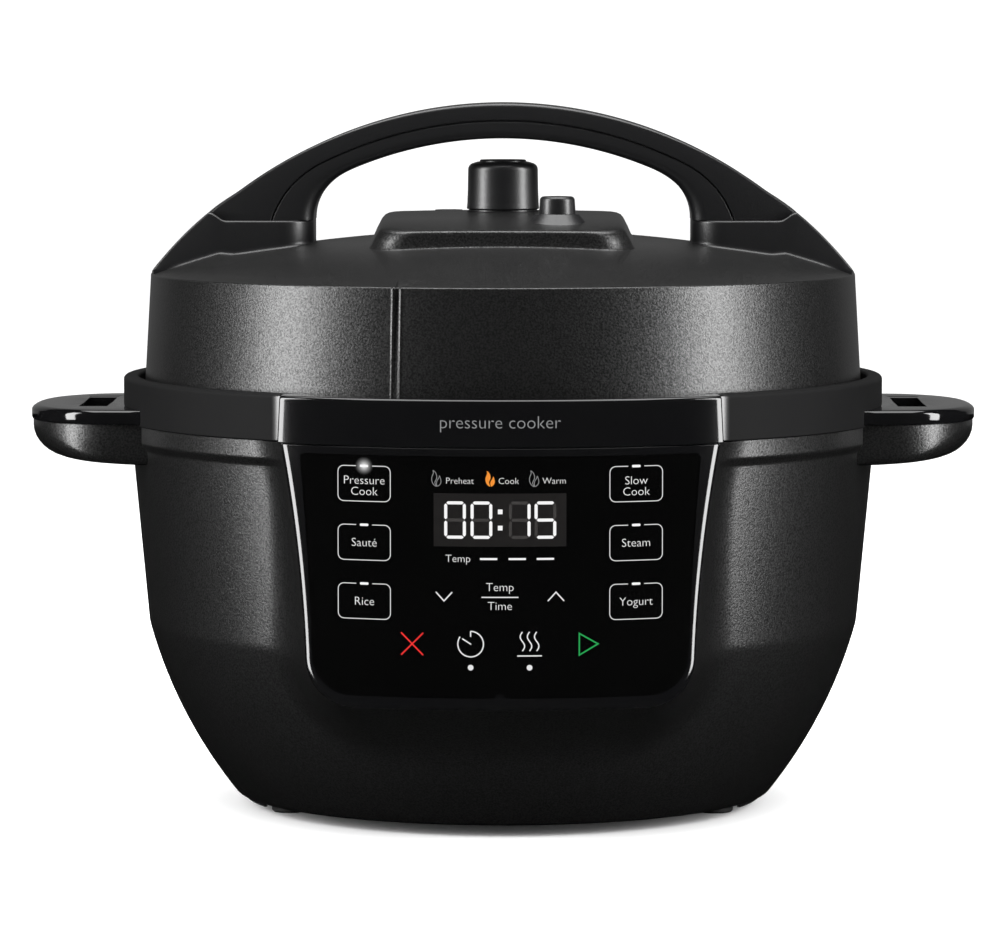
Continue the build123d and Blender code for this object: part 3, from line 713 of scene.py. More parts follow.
def ring_reach(turn, z):
    """Outer radius of the rim: the ring's, or the band's within its slanted ends."""
    x = np.abs(BAND_R * np.sin(turn))
    share = (z - RING_LOW[2]) / (RING_HIGH[2] - RING_LOW[2])
    end = BAND_HALF_LOW + (BAND_HALF_TOP - BAND_HALF_LOW) * share
    past = np.maximum(x - end, 0.0)
    gentle = np.where(past < 2.4, past**2 / 34.0, (4.8 * past - 5.76) / 34.0)
    steep = ease((past - 2.0) / 4.4)
    drop = gentle * (1 - steep) + (BAND_R - RING_R) * steep
    return np.where(np.abs(turn) < FRONT_TURN, BAND_R - drop, RING_R)


def rim_surface():
    """The gloss rim: one section carried round, its outer side pushed out to the band."""
    low, high = RING_LOW[2], RING_HIGH[2]
    section = rounded(
        [
            (TROUGH_BORE, TROUGH_LOW, 0.3),
            (RING_BORE, TROUGH_LOW, 0.3),
            (RING_BORE, low, 0.3),
            (RING_R, low, 0.7),
            (RING_R, high, 1.7),
            (RING_BORE, high, 1.2),
            (RING_BORE, TROUGH_TOP, 1.0),
            (TROUGH_BORE, TROUGH_TOP, 0.4),
        ],
        steps=7,
    )
    edge_turn = math.asin(BAND_EDGE_X / BAND_R)
    turn = crowded((-edge_turn, edge_turn), 0.06, 560, 12.0)[None]
    r, z = section[:, :1], section[:, 1:]
    slant = (0.5 - (z - low) / (high - low)) * (BAND_HALF_LOW - BAND_HALF_TOP) / BAND_R
    bell = np.exp(-(((np.abs(turn) - edge_turn) / 0.2) ** 2))
    turn = turn + np.sign(turn) * slant * bell * 1.16
    share = ease((r - RING_BORE - 0.5) / (RING_R - RING_BORE - 2.3))
    radius = r + (ring_reach(turn, z) - RING_R) * share
    return weave(on_front(radius, turn, z), ring=True)


def bezel_surface():
    """The panel's frame: a section carried between its outer outline and the window's."""
    outer, inner = panel_loop(BEZEL_SHAPE), panel_loop(LENS_SHAPE)
    seat = panel_loop(LENS_SHAPE, 3.5)
    rows = [on_cylinder(outer, BEZEL_BACK_R), on_cylinder(outer, BAND_R - 3.0)]
    crown, corner, lean = 1.9, 1.1, 0.19
    section = [
        (corner * (1 - math.cos(a)), crown * lean / 2 + corner * (math.cos(lean) - math.sin(a)))
        for a in np.linspace(0.0, math.pi / 2 - lean, 8)
    ]
    near = section[-1][0]
    for t in (0.1, 0.25, 0.4, 0.55, 0.7, 0.85, 1.0):
        section.append((near + crown * t, crown * lean / 2 * (1 - t) ** 2))
    for inset, drop in section:
        shape = list(BEZEL_SHAPE)
        shape[3] += 0.9 * inset
        rows.append(on_cylinder(panel_loop(shape, inset), BAND_R - drop))
    rows += [
        on_cylinder(inner, BAND_R),
        on_cylinder(inner, LENS_BACK_R - 0.05),
        on_cylinder(seat, LENS_BACK_R - 0.05),
        on_cylinder(seat, BEZEL_BACK_R),
    ]
    return weave(np.stack(rows), ring=True)


def lens_surface():
    """The window: rings that shrink from its outline to its middle, laid on the cylinder."""
    rows = [on_cylinder(panel_loop(LENS_SHAPE, 0.12), LENS_BACK_R)]
    for inset in (0.12, 0.5):
        rows.append(on_cylinder(panel_loop(LENS_SHAPE, inset), LENS_R))
    last = panel_loop(LENS_SHAPE, 0.9)
    middle = np.array([0.0, (LENS_LOW[2] + LENS_HIGH[2]) / 2])
    for share in np.linspace(1.0, 0.02, 22):
        rows.append(on_cylinder(middle + (last - middle) * share, LENS_R))
    return weave(np.stack(rows))


def handle_outline(side, flare):
    """Plan of a side handle: a rounded tip of power 2.5, and a root that may flare."""
    root, start, tip = 56.5, 168.0, CAP_HIGH[0] - 0.6
    angle = np.linspace(-math.pi / 2, math.pi / 2, 400)
    y = root * np.sign(angle) * np.abs(np.sin(angle)) ** 0.8
    x = start + (tip - start) * np.cos(angle)
    spread = [(146.0, root + 7.0 * flare), (151.0, root + 4.0 * flare), (158.0, root + 1.5 * flare)]
    below = [(a, -b) for a, b in spread]
    line = np.vstack([below, np.stack([x, y], -1), spread[::-1]])
    return along(np.vstack([line, line[:1]]), 1500)[:-1] * (side, 1)


def polar(line, centre, turn):
    """Distance from a centre to a closed line along each direction."""
    rel = line - centre
    angle = np.arctan2(rel[:, 1], rel[:, 0])
    order = np.argsort(angle)
    return np.interp(turn, angle[order], np.hypot(*rel.T)[order], period=2 * math.pi)


def side_handle(side, sections, flare):
    """A side handle: rays from the slot's middle cross it from the slot to the outline.

    Each row of sections is (share of the way out, inset at the slot, inset outside, height);
    an inset or a height may be a function of the point's distance out along X.
    """
    slot_x, slot_y = np.array([170.5, 182.7]), 30.0
    centre = np.array([side * slot_x.mean(), 0.0])
    half = np.array([np.ptp(slot_x) / 2, slot_y])
    corner = math.atan2(half[1], half[0])
    turn = np.sort(
        np.concatenate(
            [np.linspace(-math.pi, math.pi, 220, endpoint=False)]
            + [[a, -a, math.pi - a, a - math.pi] for a in (corner - 0.004, corner + 0.004)]
        )
    )
    way = np.stack([np.cos(turn), np.sin(turn)], -1)
    inner = (half / np.abs(way).clip(1e-6)).min(1)
    outer = polar(handle_outline(side, flare), centre, turn)
    reach = np.abs((centre + way * outer[:, None])[:, 0])
    rows = []
    for share, slot_inset, inset, height in sections:
        inset = inset(reach) if callable(inset) else inset
        height = height(reach) if callable(height) else height
        distance = inner + slot_inset + (outer - inset - inner - slot_inset) * share
        flat = centre + way * distance[:, None]
        rows.append(np.column_stack([flat, np.broadcast_to(height, turn.shape)]))
    return weave(np.stack(rows), ring=True)


def handle_cap_surface(side):
    """Gloss top of a side handle, with a rounded outer edge and a crisp slot."""
    low, high = CAP_LOW[2], CAP_HIGH[2]

    def widened(inset):
        """An inset that grows towards the handle's tip."""
        return lambda reach: inset * (1 + 1.3 * ease((reach - 176.0) / 28.0))

    rows = [
        (0.0, 0.0, 0.0, low),
        (0.0, 0.0, 0.0, high - 0.5),
        (0.0, 0.15, 0.0, high - 0.15),
        (0.0, 0.5, 0.0, high),
        (0.5, 0.5, 1.8, high),
    ]
    for angle in np.linspace(math.pi / 2, 0.0, 8):
        inset = widened(2.3 * (1 - math.cos(angle)))
        rows.append((1.0, 0.5 * math.sin(angle), inset, high - 2.3 * (1 - math.sin(angle))))
    rows += [(1.0, 0.0, 0.0, low + 0.9), (1.0, 0.0, 0.35, low + 0.2), (1.0, 0.0, 0.8, low)]
    return side_handle(side, rows, 1.0)


def handle_grip_surface(side):
    """Textured underside of a side handle: its side curls under, most of all at the tip."""
    high = CAP_LOW[2] - 0.05
    under = GRIP_LOW[2] + 3.3

    def curl(angle):
        """Inset and height, as functions of the distance out, at an angle of the curl."""

        def inset(reach):
            """How far the side has turned inwards."""
            radius = 4.0 + 12.0 * ease((reach - 172.0) / 32.0)
            return 0.7 + radius * (1 - math.cos(angle))

        def height(reach):
            """How high the side still is, on an underside that rises outwards."""
            radius = 4.0 + 8.5 * ease((reach - 172.0) / 32.0)
            slope = 2.4 * ease((reach - 150.0) / 50.0)
            return under + slope + radius * (1 - math.sin(angle))

        return inset, height

    rows = [(0.0, 0.0, 0.0, under + 1.5), (0.0, 0.0, 0.0, high), (1.0, 0.0, 1.0, high)]
    rows.append((1.0, 0.0, 0.7, high - 0.5))
    rows += [(1.0, 0.0, *curl(angle)) for angle in np.linspace(0.0, math.pi / 2, 9)]
    return side_handle(side, rows, 0.0)


# ---------------------------------------------------------------- lid
def dome_z(x, y):
    """Height of the lid's dome: a shallow paraboloid with a raised land under each handle end.

    The land is highest a third of the way in from the rim and eases off all round.
    """
    x, y = np.abs(x), np.abs(y)
    dome = CREASE_Z + (DOME_TOP - CREASE_Z) * (1 - (x * x + y * y) / CREASE_R**2)
    rise = np.interp(x, [0, 84, 112, 116, 122, 150], [0, 0.4, 1.0, 1.2, 2.9, 0.0])
    return dome + rise * (1 - ease((y - 25.0) / 34.0))


def lid_surface():
    """The lid cover: skirt, crease and dome turned about the axis, with the position mark.

    Near the mark the skirt is sunk in a narrow groove between two low ridges, and the dome's
    edge is sunk in a small pointed notch.
    """
    low = LID_LOW[2]
    near = np.linspace(CREASE_R - 2.0, 139, 34)
    dome_r = np.concatenate([near, np.linspace(137.5, 120, 12), np.linspace(116, 2, 34)])
    skirt = rounded(
        [
            (SKIRT_LOW_R - 2.5, 215.0, 0),
            (SKIRT_LOW_R - 2.5, low, 0.6),
            (SKIRT_LOW_R, low, 0.6),
            (SKIRT_TOP_R, CREASE_Z - 0.2, 0.8),
            (CREASE_R - 1.7, float(dome_z(CREASE_R - 1.7, 0.0)), 0),
        ],
        steps=8,
        closed=False,
    )
    climb = skirt[:-1]
    outer_start = np.argmax((climb[:, 0] > SKIRT_LOW_R - 0.4) & (climb[:, 1] > low + 0.3))
    rows = np.linspace(0, 1, 16)[1:-1, None]
    lower, upper = climb[outer_start], climb[outer_start + 1]
    between = lower + (upper - lower) * rows
    climb = np.vstack([climb[: outer_start + 1], between, climb[outer_start + 1 :]])
    dome = np.stack([dome_r, dome_z(dome_r, 0.0)], -1)
    profile = np.vstack([climb, dome])
    turn = crowded((MARK_TURN,), 0.05, 560, 26.0)[None]
    r, z = profile[:, :1], profile[:, 1:]
    side = (turn - MARK_TURN) * SKIRT_TOP_R
    depth = mm(sizes().mark_depth)
    groove = depth * ease((0.95 - np.abs(side)) / 0.35)
    ridge = 0.45 * np.exp(-(((np.abs(side) - 1.75) / 0.55) ** 2))
    on_skirt = (z > RING_HIGH[2] - 2) & (z < CREASE_Z + 0.2) & (r > CREASE_R - 3)
    radius = r + np.where(on_skirt, ridge - groove, 0.0)
    inward = CREASE_R - r
    notch_left, notch_right = -1.0 - 0.25 * inward, 1.0 + 0.8 * inward
    inside = np.minimum(side - notch_left, notch_right - side)
    notch = 1.1 * ease(inside / 0.6) * (inward > -0.6) * np.clip(1 - inward / 11.0, 0, 1)
    x, y = radius * np.sin(turn), radius * np.cos(turn)
    on_dome = (r < CREASE_R - 0.1) & (z > CREASE_Z - 1)
    z = np.where(on_dome, dome_z(x, y), z + 0 * x)
    height = z - np.where(z >= CREASE_Z - 0.4, notch, 0.0)
    return weave(on_front(radius, turn, height))


def bowed(start, control, end, count):
    """Quadratic curve from start to end, pulled towards a control point."""
    t = np.linspace(0, 1, count)[:, None]
    start, control, end = (np.array(p, float) for p in (start, control, end))
    return (1 - t) ** 2 * start + 2 * t * (1 - t) * control + t * t * end


def along(line, count):
    """Points at equal steps along a line."""
    step = np.hypot(*np.diff(line, axis=0).T)
    reach = np.concatenate([[0], np.cumsum(step)])
    want = np.linspace(0, reach[-1], count)
    return np.stack([np.interp(want, reach, line[:, i]) for i in (0, 1)], -1)


def arch_line(top, radius, to_x, count=60):
    """Arc of the handle from its top towards one side."""
    x = np.linspace(0, to_x, count)
    return np.stack([x, top - radius + np.sqrt(radius**2 - x**2)], -1)


ARCH_R, SEAM_R, GRIP_R = 190.6, 176.3, 166.0
SEAM_TOP = 297.5
GRIP_TOP = 289.5
LEG_LOW = ARCH_LOW[2]
LEG_X = 81.7
SEAM_LEG_X = 100.1
ARCH_END = (126.7, 257.9)


def outer_half():
    """Right half of the handle's outer line, eased onto its end."""
    arc = along(arch_line(ARCH_HIGH[2], ARCH_R, ARCH_END[0]), 70)
    arc[:, 1] += (ARCH_END[1] - arc[-1, 1]) * ease((arc[:, 0] - 112.0) / 15.0)
    return arc


def seam_half():
    """Right half of the seam between the handle's halves."""
    arc = arch_line(SEAM_TOP, SEAM_R, 80.8)
    return np.vstack([arc, bowed(arc[-1], (95.0, 269.3), (SEAM_LEG_X, LEG_LOW), 30)[1:]])


def grip_half():
    """Right half of the handle's inner line."""
    arc = arch_line(GRIP_TOP, GRIP_R, 64.0)
    return np.vstack([arc, bowed(arc[-1], (LEG_X, 269.2), (LEG_X, LEG_LOW), 30)[1:]])


def both_sides(half):
    """A line from the middle outwards, continued by its mirror image."""
    return np.vstack([half[::-1] * (-1, 1), half[1:]])


def swept(inner, outer, width, low_r, high_r, crown=0.0):
    """Handle half: a rounded section carried between an inner and an outer line.

    Its height is the distance between the lines, its corners have one radius towards the
    inner line and one towards the outer, and the outer face may be crowned.
    """
    way = outer - inner
    height = np.hypot(*way.T)[:, None]
    way = way / height
    low_r, high_r = np.minimum(low_r, height * 0.48), np.minimum(high_r, height * 0.48)
    half = np.broadcast_to(width, height.shape) / 2
    quarter = np.linspace(0, math.pi / 2, 8)[None]
    rows_y = [half - low_r + low_r * np.sin(quarter), half - high_r + high_r * np.cos(quarter)]
    rows_h = [low_r - low_r * np.cos(quarter), height - high_r + high_r * np.sin(quarter)]
    y, h = np.hstack(rows_y), np.hstack(rows_h)
    h = h + crown * (1 - (y / half) ** 2) * ease((h - height + high_r) / high_r)
    y, h = np.hstack([y, -y[:, ::-1]]), np.hstack([h, h[:, ::-1]])
    x = inner[:, :1] + way[:, :1] * h
    z = inner[:, 1:] + way[:, 1:] * h
    return weave(np.stack([x, y, z], -1))


def arch_upper_surface():
    """Upper half of the handle, between its outer arc and the seam, cut slanting at its ends."""
    outer = np.vstack([outer_half(), [(ARCH_END[0] - HANDLE_SPLIT, LEG_LOW)]])
    seam = along(seam_half(), 70)
    seam = np.vstack([seam, seam[-1:]])
    seam[-2] = seam[-2] * 0.35 + seam[-3] * 0.65
    width = ARCH_HIGH[1] * 2
    return swept(both_sides(seam), both_sides(outer), width, 0.5, 1.8, 0.5)


def arch_lines():
    """Inner line and seam of the whole handle, and the direction from one to the other."""
    inner, seam = (both_sides(along(half, 71)) for half in (grip_half(), seam_half()))
    return inner, seam, (seam - inner) / np.hypot(*(seam - inner).T)[:, None]


def arch_lower_surface():
    """Lower half of the handle: a D section, well rounded where the fingers go."""
    inner, seam, way = arch_lines()
    width = ARCH_HIGH[1] * 2 - 0.9
    return swept(inner, seam - way * 0.45, width, 6.5, 0.9)


def arch_core_surface():
    """Strip inside the handle that closes the seam between its halves."""
    _, seam, way = arch_lines()
    return swept(seam - way * 2.0, seam + way * 1.5, ARCH_HIGH[1] * 2 - 3.0, 0.3, 0.3)


def root_surface(side):
    """Block under an end of the handle: an upright section carried outwards along X.

    Its inner end is round in plan, its top follows the handle and then the outer slope, and
    its foot spreads a little onto the dome.
    """
    end_x, seam_x = ARCH_END[0], ARCH_END[0] - HANDLE_SPLIT
    out_x = 152.4
    bend = 15.0
    near = LEG_X + bend * (1 - np.cos(np.linspace(0, math.pi / 2, 14)))
    runs = [(near[-1] + 2, seam_x - 3, 14), (seam_x - 1.5, end_x, 6), (end_x + 0.6, 146.0, 18)]
    last = out_x - np.array([5.0, 3.8, 2.8, 1.9, 1.2, 0.6, 0.2, 0.0])
    x = np.concatenate([near, *(np.linspace(*run) for run in runs), last])
    rise = ARCH_END[1] - LEG_LOW
    lip = rise * ease((x - seam_x + 2.5) / (end_x - seam_x + 2.5))
    t = np.clip((x - end_x) / (out_x - end_x), 0, 1)
    slope = ARCH_END[1] + (CREASE_Z + 0.1 - ARCH_END[1]) * t + 6.0 * t * (1 - t)
    top = np.where(x <= end_x, LEG_LOW + lip, slope)[:, None]
    half = np.full_like(x, ROOT_HIGH[1] - 1.6)
    half[: len(near)] -= bend - np.sqrt(np.maximum(bend**2 - (bend - (near - LEG_X)) ** 2, 0))
    half = np.minimum(half, np.sqrt(np.maximum((CREASE_R + 0.6) ** 2 - x**2, 9.0)))[:, None]
    quarter = np.linspace(0, math.pi / 2, 6)[None]
    edge = 1.2
    spread = 1 - ease((x - 138.0) / 8.0)[:, None]
    foot_y = [half + w * spread for w in (1.5, 0.5, 0.1, 0.0)]
    y = np.hstack([*foot_y, half - 0.4 - edge + edge * np.cos(quarter)])
    foot = dome_z(x[:, None], y[:, :4])
    z_low = foot + np.array([-0.5, 0.25, 0.9, 1.9])
    z_top = top - edge + edge * np.sin(quarter)
    z = np.hstack([z_low, z_top])
    z = np.minimum(z, top)
    y, z = np.hstack([y, -y[:, ::-1]]), np.hstack([z, z[:, ::-1]])
    xs = np.broadcast_to(x[:, None] * side, y.shape)
    return weave(np.stack([xs, y, z], -1))


def vent_loop(inset, side_inset):
    """Plan outline of the raised plateau, moved inwards, by more at its two ends."""
    low, high = VENT_LOW[:2] + (side_inset, inset), VENT_HIGH[:2] - (side_inset, inset)
    r = max(14.0 - inset, 1.0)
    ends = (low, (high[0], low[1]), high, (low[0], high[1]))
    line = rounded([(x, y, r) for x, y in ends], steps=16)
    line = along(np.vstack([line, line[:1]]), 241)[:-1]
    line[:, 1] -= 2.4 * (1 - (line[:, 0] / high[0]) ** 2) * (line[:, 1] < -40)
    return line


def vent_top(x, y):
    """Top of the plateau: it falls to the front and back, and a little to its ends."""
    return VENT_HIGH[2] + 0.1 - 6.3 * (y / 73.0) ** 2 - 0.7 * (x / 50.0) ** 2


def vent_surface():
    """The plateau on the dome: its sides lean in, its edge is round, its foot spreads.

    Its loops run from the foot over the top to the float's hole, and down inside the hole.
    """
    rows = []
    for inset, side_inset, share in (
        (0.6, 0.6, -0.08),
        (-0.2, -0.5, 0.0),
        (0.0, -0.1, 0.03),
        (0.2, 0.4, 0.10),
        (0.6, 1.8, 0.42),
        (1.0, 3.6, 0.76),
        (1.15, 4.7, 0.88),
        (1.4, 6.4, 0.955),
        (1.9, 8.8, 0.99),
        (2.8, 12.0, 1.0),
        (3.6, 15.0, 1.0),
        (9.0, 20.0, 1.0),
    ):
        x, y = vent_loop(inset, side_inset).T
        base, top = dome_z(x, y), vent_top(x, y)
        rows.append(np.stack([x, y, base + (top - base) * share], -1))
    away = vent_loop(9.0, 20.0) - FLOAT_AXIS
    hole = away / np.hypot(*away.T)[:, None] * FLOAT_HOLE_R
    for share in np.linspace(0.85, 0.0, 10):
        x, y = (FLOAT_AXIS + hole + (away - hole) * share).T
        rows.append(np.stack([x, y, vent_top(x, y)], -1))
    rows.append(np.stack([x, y, dome_z(x, y) - 1.0], -1))
    return weave(np.stack(rows), ring=True)


def knob_profile():
    """Outline of the steam knob: flared foot, waist, chamfered shoulder, capped top."""
    low, high = KNOB_LOW[2], KNOB_HIGH[2]
    r = KNOB_HIGH[0]
    return rounded(
        [
            (10.2, low + 6.0, 0),
            (10.2, low, 0.3),
            (r, low, 0.5),
            (r - 0.25, low + 3.0, 2.5),
            (r - 0.45, low + 9.0, 8.0),
            (r - 0.6, high - 2.2, 3.4),
            (r - 4.7, high - 0.9, 0.8),
            (r - 5.2, high - 0.9, 0.2),
            (r - 5.35, high - 1.4, 0.1),
            (r - 5.6, high - 1.4, 0.1),
            (r - 5.75, high, 0.6),
            (0.0, high, 0),
        ],
        steps=6,
        closed=False,
    )


# ---------------------------------------------------------------- panel print
PRINT_LIFT = 0.05


def bend_print(x, z, lift):
    """Front-view points laid over the window at a small lift."""
    radius = LENS_R + lift
    return np.stack([x, -np.sqrt(radius**2 - x**2), z], -1)


def finer(path, step, closed):
    """The same line with points added so that no step along it is longer than one length."""
    path = np.asarray(path, float)
    ends = np.roll(path, -1, 0) if closed else np.vstack([path[1:], path[-1:]])
    parts = []
    for a, b in zip(path, ends):
        count = max(int(math.ceil(np.hypot(*(b - a)) / step)), 1)
        parts.append(a + (b - a) * np.arange(count)[:, None] / count)
    return np.vstack(parts)


def stroke(path, width, closed=False, lift=PRINT_LIFT):
    """A printed line: a thin flat section of one width carried along a front-view path."""
    path = finer(path, 1.0, closed)
    ahead = np.roll(path, -1, 0) - path
    behind = path - np.roll(path, 1, 0)
    if not closed:
        ahead[-1], behind[0] = behind[-1], ahead[0]
    ahead /= np.linalg.norm(ahead, axis=1, keepdims=True)
    behind /= np.linalg.norm(behind, axis=1, keepdims=True)
    mean = ahead + behind
    mean /= np.linalg.norm(mean, axis=1, keepdims=True)
    side = np.stack([-mean[:, 1], mean[:, 0]], -1)
    mitre = 1 / np.maximum((mean * ahead).sum(1, keepdims=True), 0.5)
    out, inn = path + side * width / 2 * mitre, path - side * width / 2 * mitre
    section = [(out, 0.0), (out, lift), (inn, lift), (inn, 0.0)]
    grid = np.stack([bend_print(p[:, 0], p[:, 1], up) for p, up in section], 1)
    return weave(grid, ring=closed)


def filled(loop, lift=PRINT_LIFT, base=0.0):
    """A printed patch: its outline raised a hair and closed over by a fan."""
    loop = np.asarray(loop, float)
    rows = [bend_print(loop[:, 0], loop[:, 1], base), bend_print(loop[:, 0], loop[:, 1], lift)]
    return weave(np.stack(rows))


def patch(x, z, half_x, half_z, radius=0.0, lift=PRINT_LIFT, base=0.0):
    """A filled upright rectangle with round corners, cut into strips across the curve."""
    columns = max(int(half_x * 2), 16)
    xs = x - half_x * np.cos(np.linspace(0, math.pi, columns + 1))
    near = np.minimum(xs - (x - half_x), (x + half_x) - xs)
    arc = np.sqrt(np.maximum(radius**2 - (radius - near) ** 2, 0))
    cut = np.where(near < radius, radius - arc, 0)
    high, low = z + half_z - cut, z - half_z + cut
    section = ((low, base), (low, lift), (high, lift), (high, base))
    return weave(np.stack([bend_print(xs, zs, up) for zs, up in section], 1))


def circle(x, z, radius, start=0.0, end=360.0, count=40):
    """Points of an arc in the front view, in degrees."""
    turn = np.radians(np.linspace(start, end, count, endpoint=end - start < 360))
    return np.stack([x + radius * np.cos(turn), z + radius * np.sin(turn)], -1)


def words(text, x, z, height):
    """Plain lettering centred at a place on the window, bent onto it."""
    curve = bpy.data.curves.new("lettering", "FONT")
    curve.body = text
    curve.align_x = "CENTER"
    curve.align_y = "CENTER"
    curve.size = height * 0.001
    curve.extrude = 0.00002
    curve.offset = -height * 0.000014
    curve.resolution_u = 3
    obj = bpy.data.objects.new("lettering", curve)
    mesh = bpy.data.meshes.new_from_object(obj)
    flat = np.zeros(len(mesh.vertices) * 3)
    mesh.vertices.foreach_get("co", flat)
    flat = flat.reshape(-1, 3) * 1000.0
    points = bend_print(flat[:, 0] + x, flat[:, 1] + z, flat[:, 2] + PRINT_LIFT - 0.02)
    corners, counts = np.zeros(len(mesh.loops), int), np.zeros(len(mesh.polygons), int)
    mesh.loops.foreach_get("vertex_index", corners)
    mesh.polygons.foreach_get("loop_total", counts)
    bpy.data.objects.remove(obj)
    bpy.data.curves.remove(curve)
    bpy.data.meshes.remove(mesh)
    return points, corners, counts


KEY_X = 55.3
KEY_ROWS = (152.3, 128.3, 104.3)
KEY_HALF = (10.75, 7.2)
KEY_WORDS = (
    (("Pressure", "Cook"), ("Slow", "Cook")),
    (("Sauté",), ("Steam",)),
    (("Rice",), ("Yogurt",)),
)


def key_outline(x, z):
    """Rounded key outline, open for a short way at the middle of its top."""
    hx, hz = KEY_HALF
    gap = 3.3
    return rounded(
        [
            (x + gap, z + hz, 0),
            (x + hx, z + hz, 2.4),
            (x + hx, z - hz, 2.4),
            (x - hx, z - hz, 2.4),
            (x - hx, z + hz, 2.4),
            (x - gap, z + hz, 0),
        ],
        steps=7,
        closed=False,
    )


TALL_TONGUE = (
    (0.02, -0.50), (-0.22, -0.38), (-0.36, -0.18), (-0.38, 0.04), (-0.29, 0.22), (-0.23, 0.36),
    (-0.26, 0.50), (-0.06, 0.38), (0.05, 0.20), (0.06, 0.02), (-0.04, -0.14), (-0.10, -0.28),
)
SHORT_TONGUE = (
    (0.10, -0.48), (0.04, -0.32), (0.08, -0.16), (0.20, -0.02), (0.28, 0.10), (0.31, 0.16),
    (0.40, -0.02), (0.44, -0.20), (0.36, -0.36), (0.22, -0.46),
)


def smooth_loop(points, steps=4):
    """Closed curve through points: each span is a cubic whose ends lean along its neighbours."""
    p = np.asarray(points, float)
    before, after, later = np.roll(p, 1, 0), np.roll(p, -1, 0), np.roll(p, -2, 0)
    t = (np.arange(steps) / steps)[None, :, None]
    a, b, c, d = (q[:, None] for q in (before, p, after, later))
    curve = b + 0.5 * t * (c - a + t * (2 * a - 5 * b + 4 * c - d + t * (3 * (b - c) + d - a)))
    return curve.reshape(-1, 2)


def flame(x, z, size):
    """Two tongues of a flame, each a smooth closed outline."""
    return [smooth_loop(t) * (0.72 * size, size) + (x, z) for t in (TALL_TONGUE, SHORT_TONGUE)]


SEGMENTS = {
    "a": ((-0.5, 1.0), (0.5, 1.0)),
    "b": ((0.5, 1.0), (0.5, 0.0)),
    "c": ((0.5, 0.0), (0.5, -1.0)),
    "d": ((-0.5, -1.0), (0.5, -1.0)),
    "e": ((-0.5, 0.0), (-0.5, -1.0)),
    "f": ((-0.5, 1.0), (-0.5, 0.0)),
    "g": ((-0.5, 0.0), (0.5, 0.0)),
}
DIGITS = {"0": "abcdef", "1": "bc", "5": "acdfg"}


def segment(x, z, letter, width, height, thick, lift):
    """One bar of a seven-segment digit, pointed at both ends."""
    (x0, z0), (x1, z1) = SEGMENTS[letter]
    wide, tall = width - thick, (height - thick) / 2
    a = np.array([x + x0 * wide, z + z0 * tall])
    b = np.array([x + x1 * wide, z + z1 * tall])
    way = (b - a) / np.linalg.norm(b - a)
    side = np.array([-way[1], way[0]]) * thick / 2
    a, b = a + way * 0.25, b - way * 0.25
    inset = way * thick / 2
    loop = [a, a + inset + side, b - inset + side, b, b - inset - side, a + inset - side]
    return filled(np.array(loop), lift)


# ---------------------------------------------------------------- operators
class COOKER_OT_finishes(bpy.types.Operator):
    """Gives every frame piece that stays its finish"""

    bl_idname = "cooker.finishes"
    bl_label = "Finish the frame's pieces"

    def execute(self, context):
        makers = {
            "textured_plastic": textured_abs,
            "satin_plastic": satin_abs,
            "gloss_plastic_trim": polished_abs,
            "smoked_lens": window_acrylic,
            "display": display_face,
            "circuit_board": board_mask,
            "well_aluminium": pressed_aluminium,
            "heater_aluminium": cast_aluminium,
            "steel": brushed_stainless,
            "brass_pins": plated_brass,
            "silicone": grey_silicone,
            "rubber_foot": foot_rubber,
            "clear_cup": smoked_cup,
        }
        for part in frame["record"]["subparts"]:
            if part["material_slot"] not in makers:
                raise RuntimeError(f"{part['node']} has a slot without a finish")
            materials = frame["nodes"][part["node"]].data.materials
            materials.clear()
            materials.append(makers[part["material_slot"]]())
        return {"FINISHED"}


class COOKER_OT_body(bpy.types.Operator):
    """Moulds the body with the panel's pedestal"""

    bl_idname = "cooker.body"
    bl_label = "Body"

    def execute(self, context):
        skin = ("base", textured_abs(), "textured_plastic")
        piece("body_moulding", [body_surface()], *skin, ["outer_shell"], 50)
        x, z = rounded([(-15, 118, 0.8), (15, 118, 0.8), (15, 121, 0.8), (-15, 121, 0.8)]).T
        ends = ((156.0, 1.0), (165.4, 1.0), (165.9, 0.98))
        rows = [np.column_stack([x * wide, np.full(len(x), y), z]) for y, wide in ends]
        piece("cup_tongue", [weave(np.stack(rows))], *skin)
        return {"FINISHED"}


class COOKER_OT_rim(bpy.types.Operator):
    """Builds the gloss rim and its front band"""

    bl_idname = "cooker.rim"
    bl_label = "Rim"

    def execute(self, context):
        trim = ("base", two_tone_trim(), "gloss_plastic_trim")
        piece("rim_moulding", [rim_surface()], *trim, ["rim_ring"], 50)
        return {"FINISHED"}


class COOKER_OT_side_handles(bpy.types.Operator):
    """Builds the two side handles, gloss above and textured below"""

    bl_idname = "cooker.side_handles"
    bl_label = "Side handles"

    def execute(self, context):
        for name, side in (("left", -1), ("right", 1)):
            made = [handle_cap_surface(side)], "base", polished_abs(), "gloss_plastic_trim"
            piece(f"side_cap_{name}", *made, [f"handle_cap_{name}"], 50)
            made = [handle_grip_surface(side)], "base", textured_abs(), "satin_plastic"
            piece(f"side_grip_{name}", *made, [f"handle_grip_{name}"], 50)
        return {"FINISHED"}


class COOKER_OT_panel(bpy.types.Operator):
    """Builds the panel's frame and window"""

    bl_idname = "cooker.panel"
    bl_label = "Panel"

    def execute(self, context):
        trim = ("base", polished_abs(), "gloss_plastic_trim")
        piece("panel_frame", [bezel_surface()], *trim, ["panel_bezel"], 50)
        tab = filled(circle(0.0, 65.3, 2.1, 0.0, 180.0, 24), lift=0.25, base=-1.2)
        piece("panel_tab", [tab], *trim)
        made = [lens_surface()], "base", window_acrylic(), "smoked_lens"
        piece("panel_window", *made, ["panel_lens"], 50)
        return {"FINISHED"}


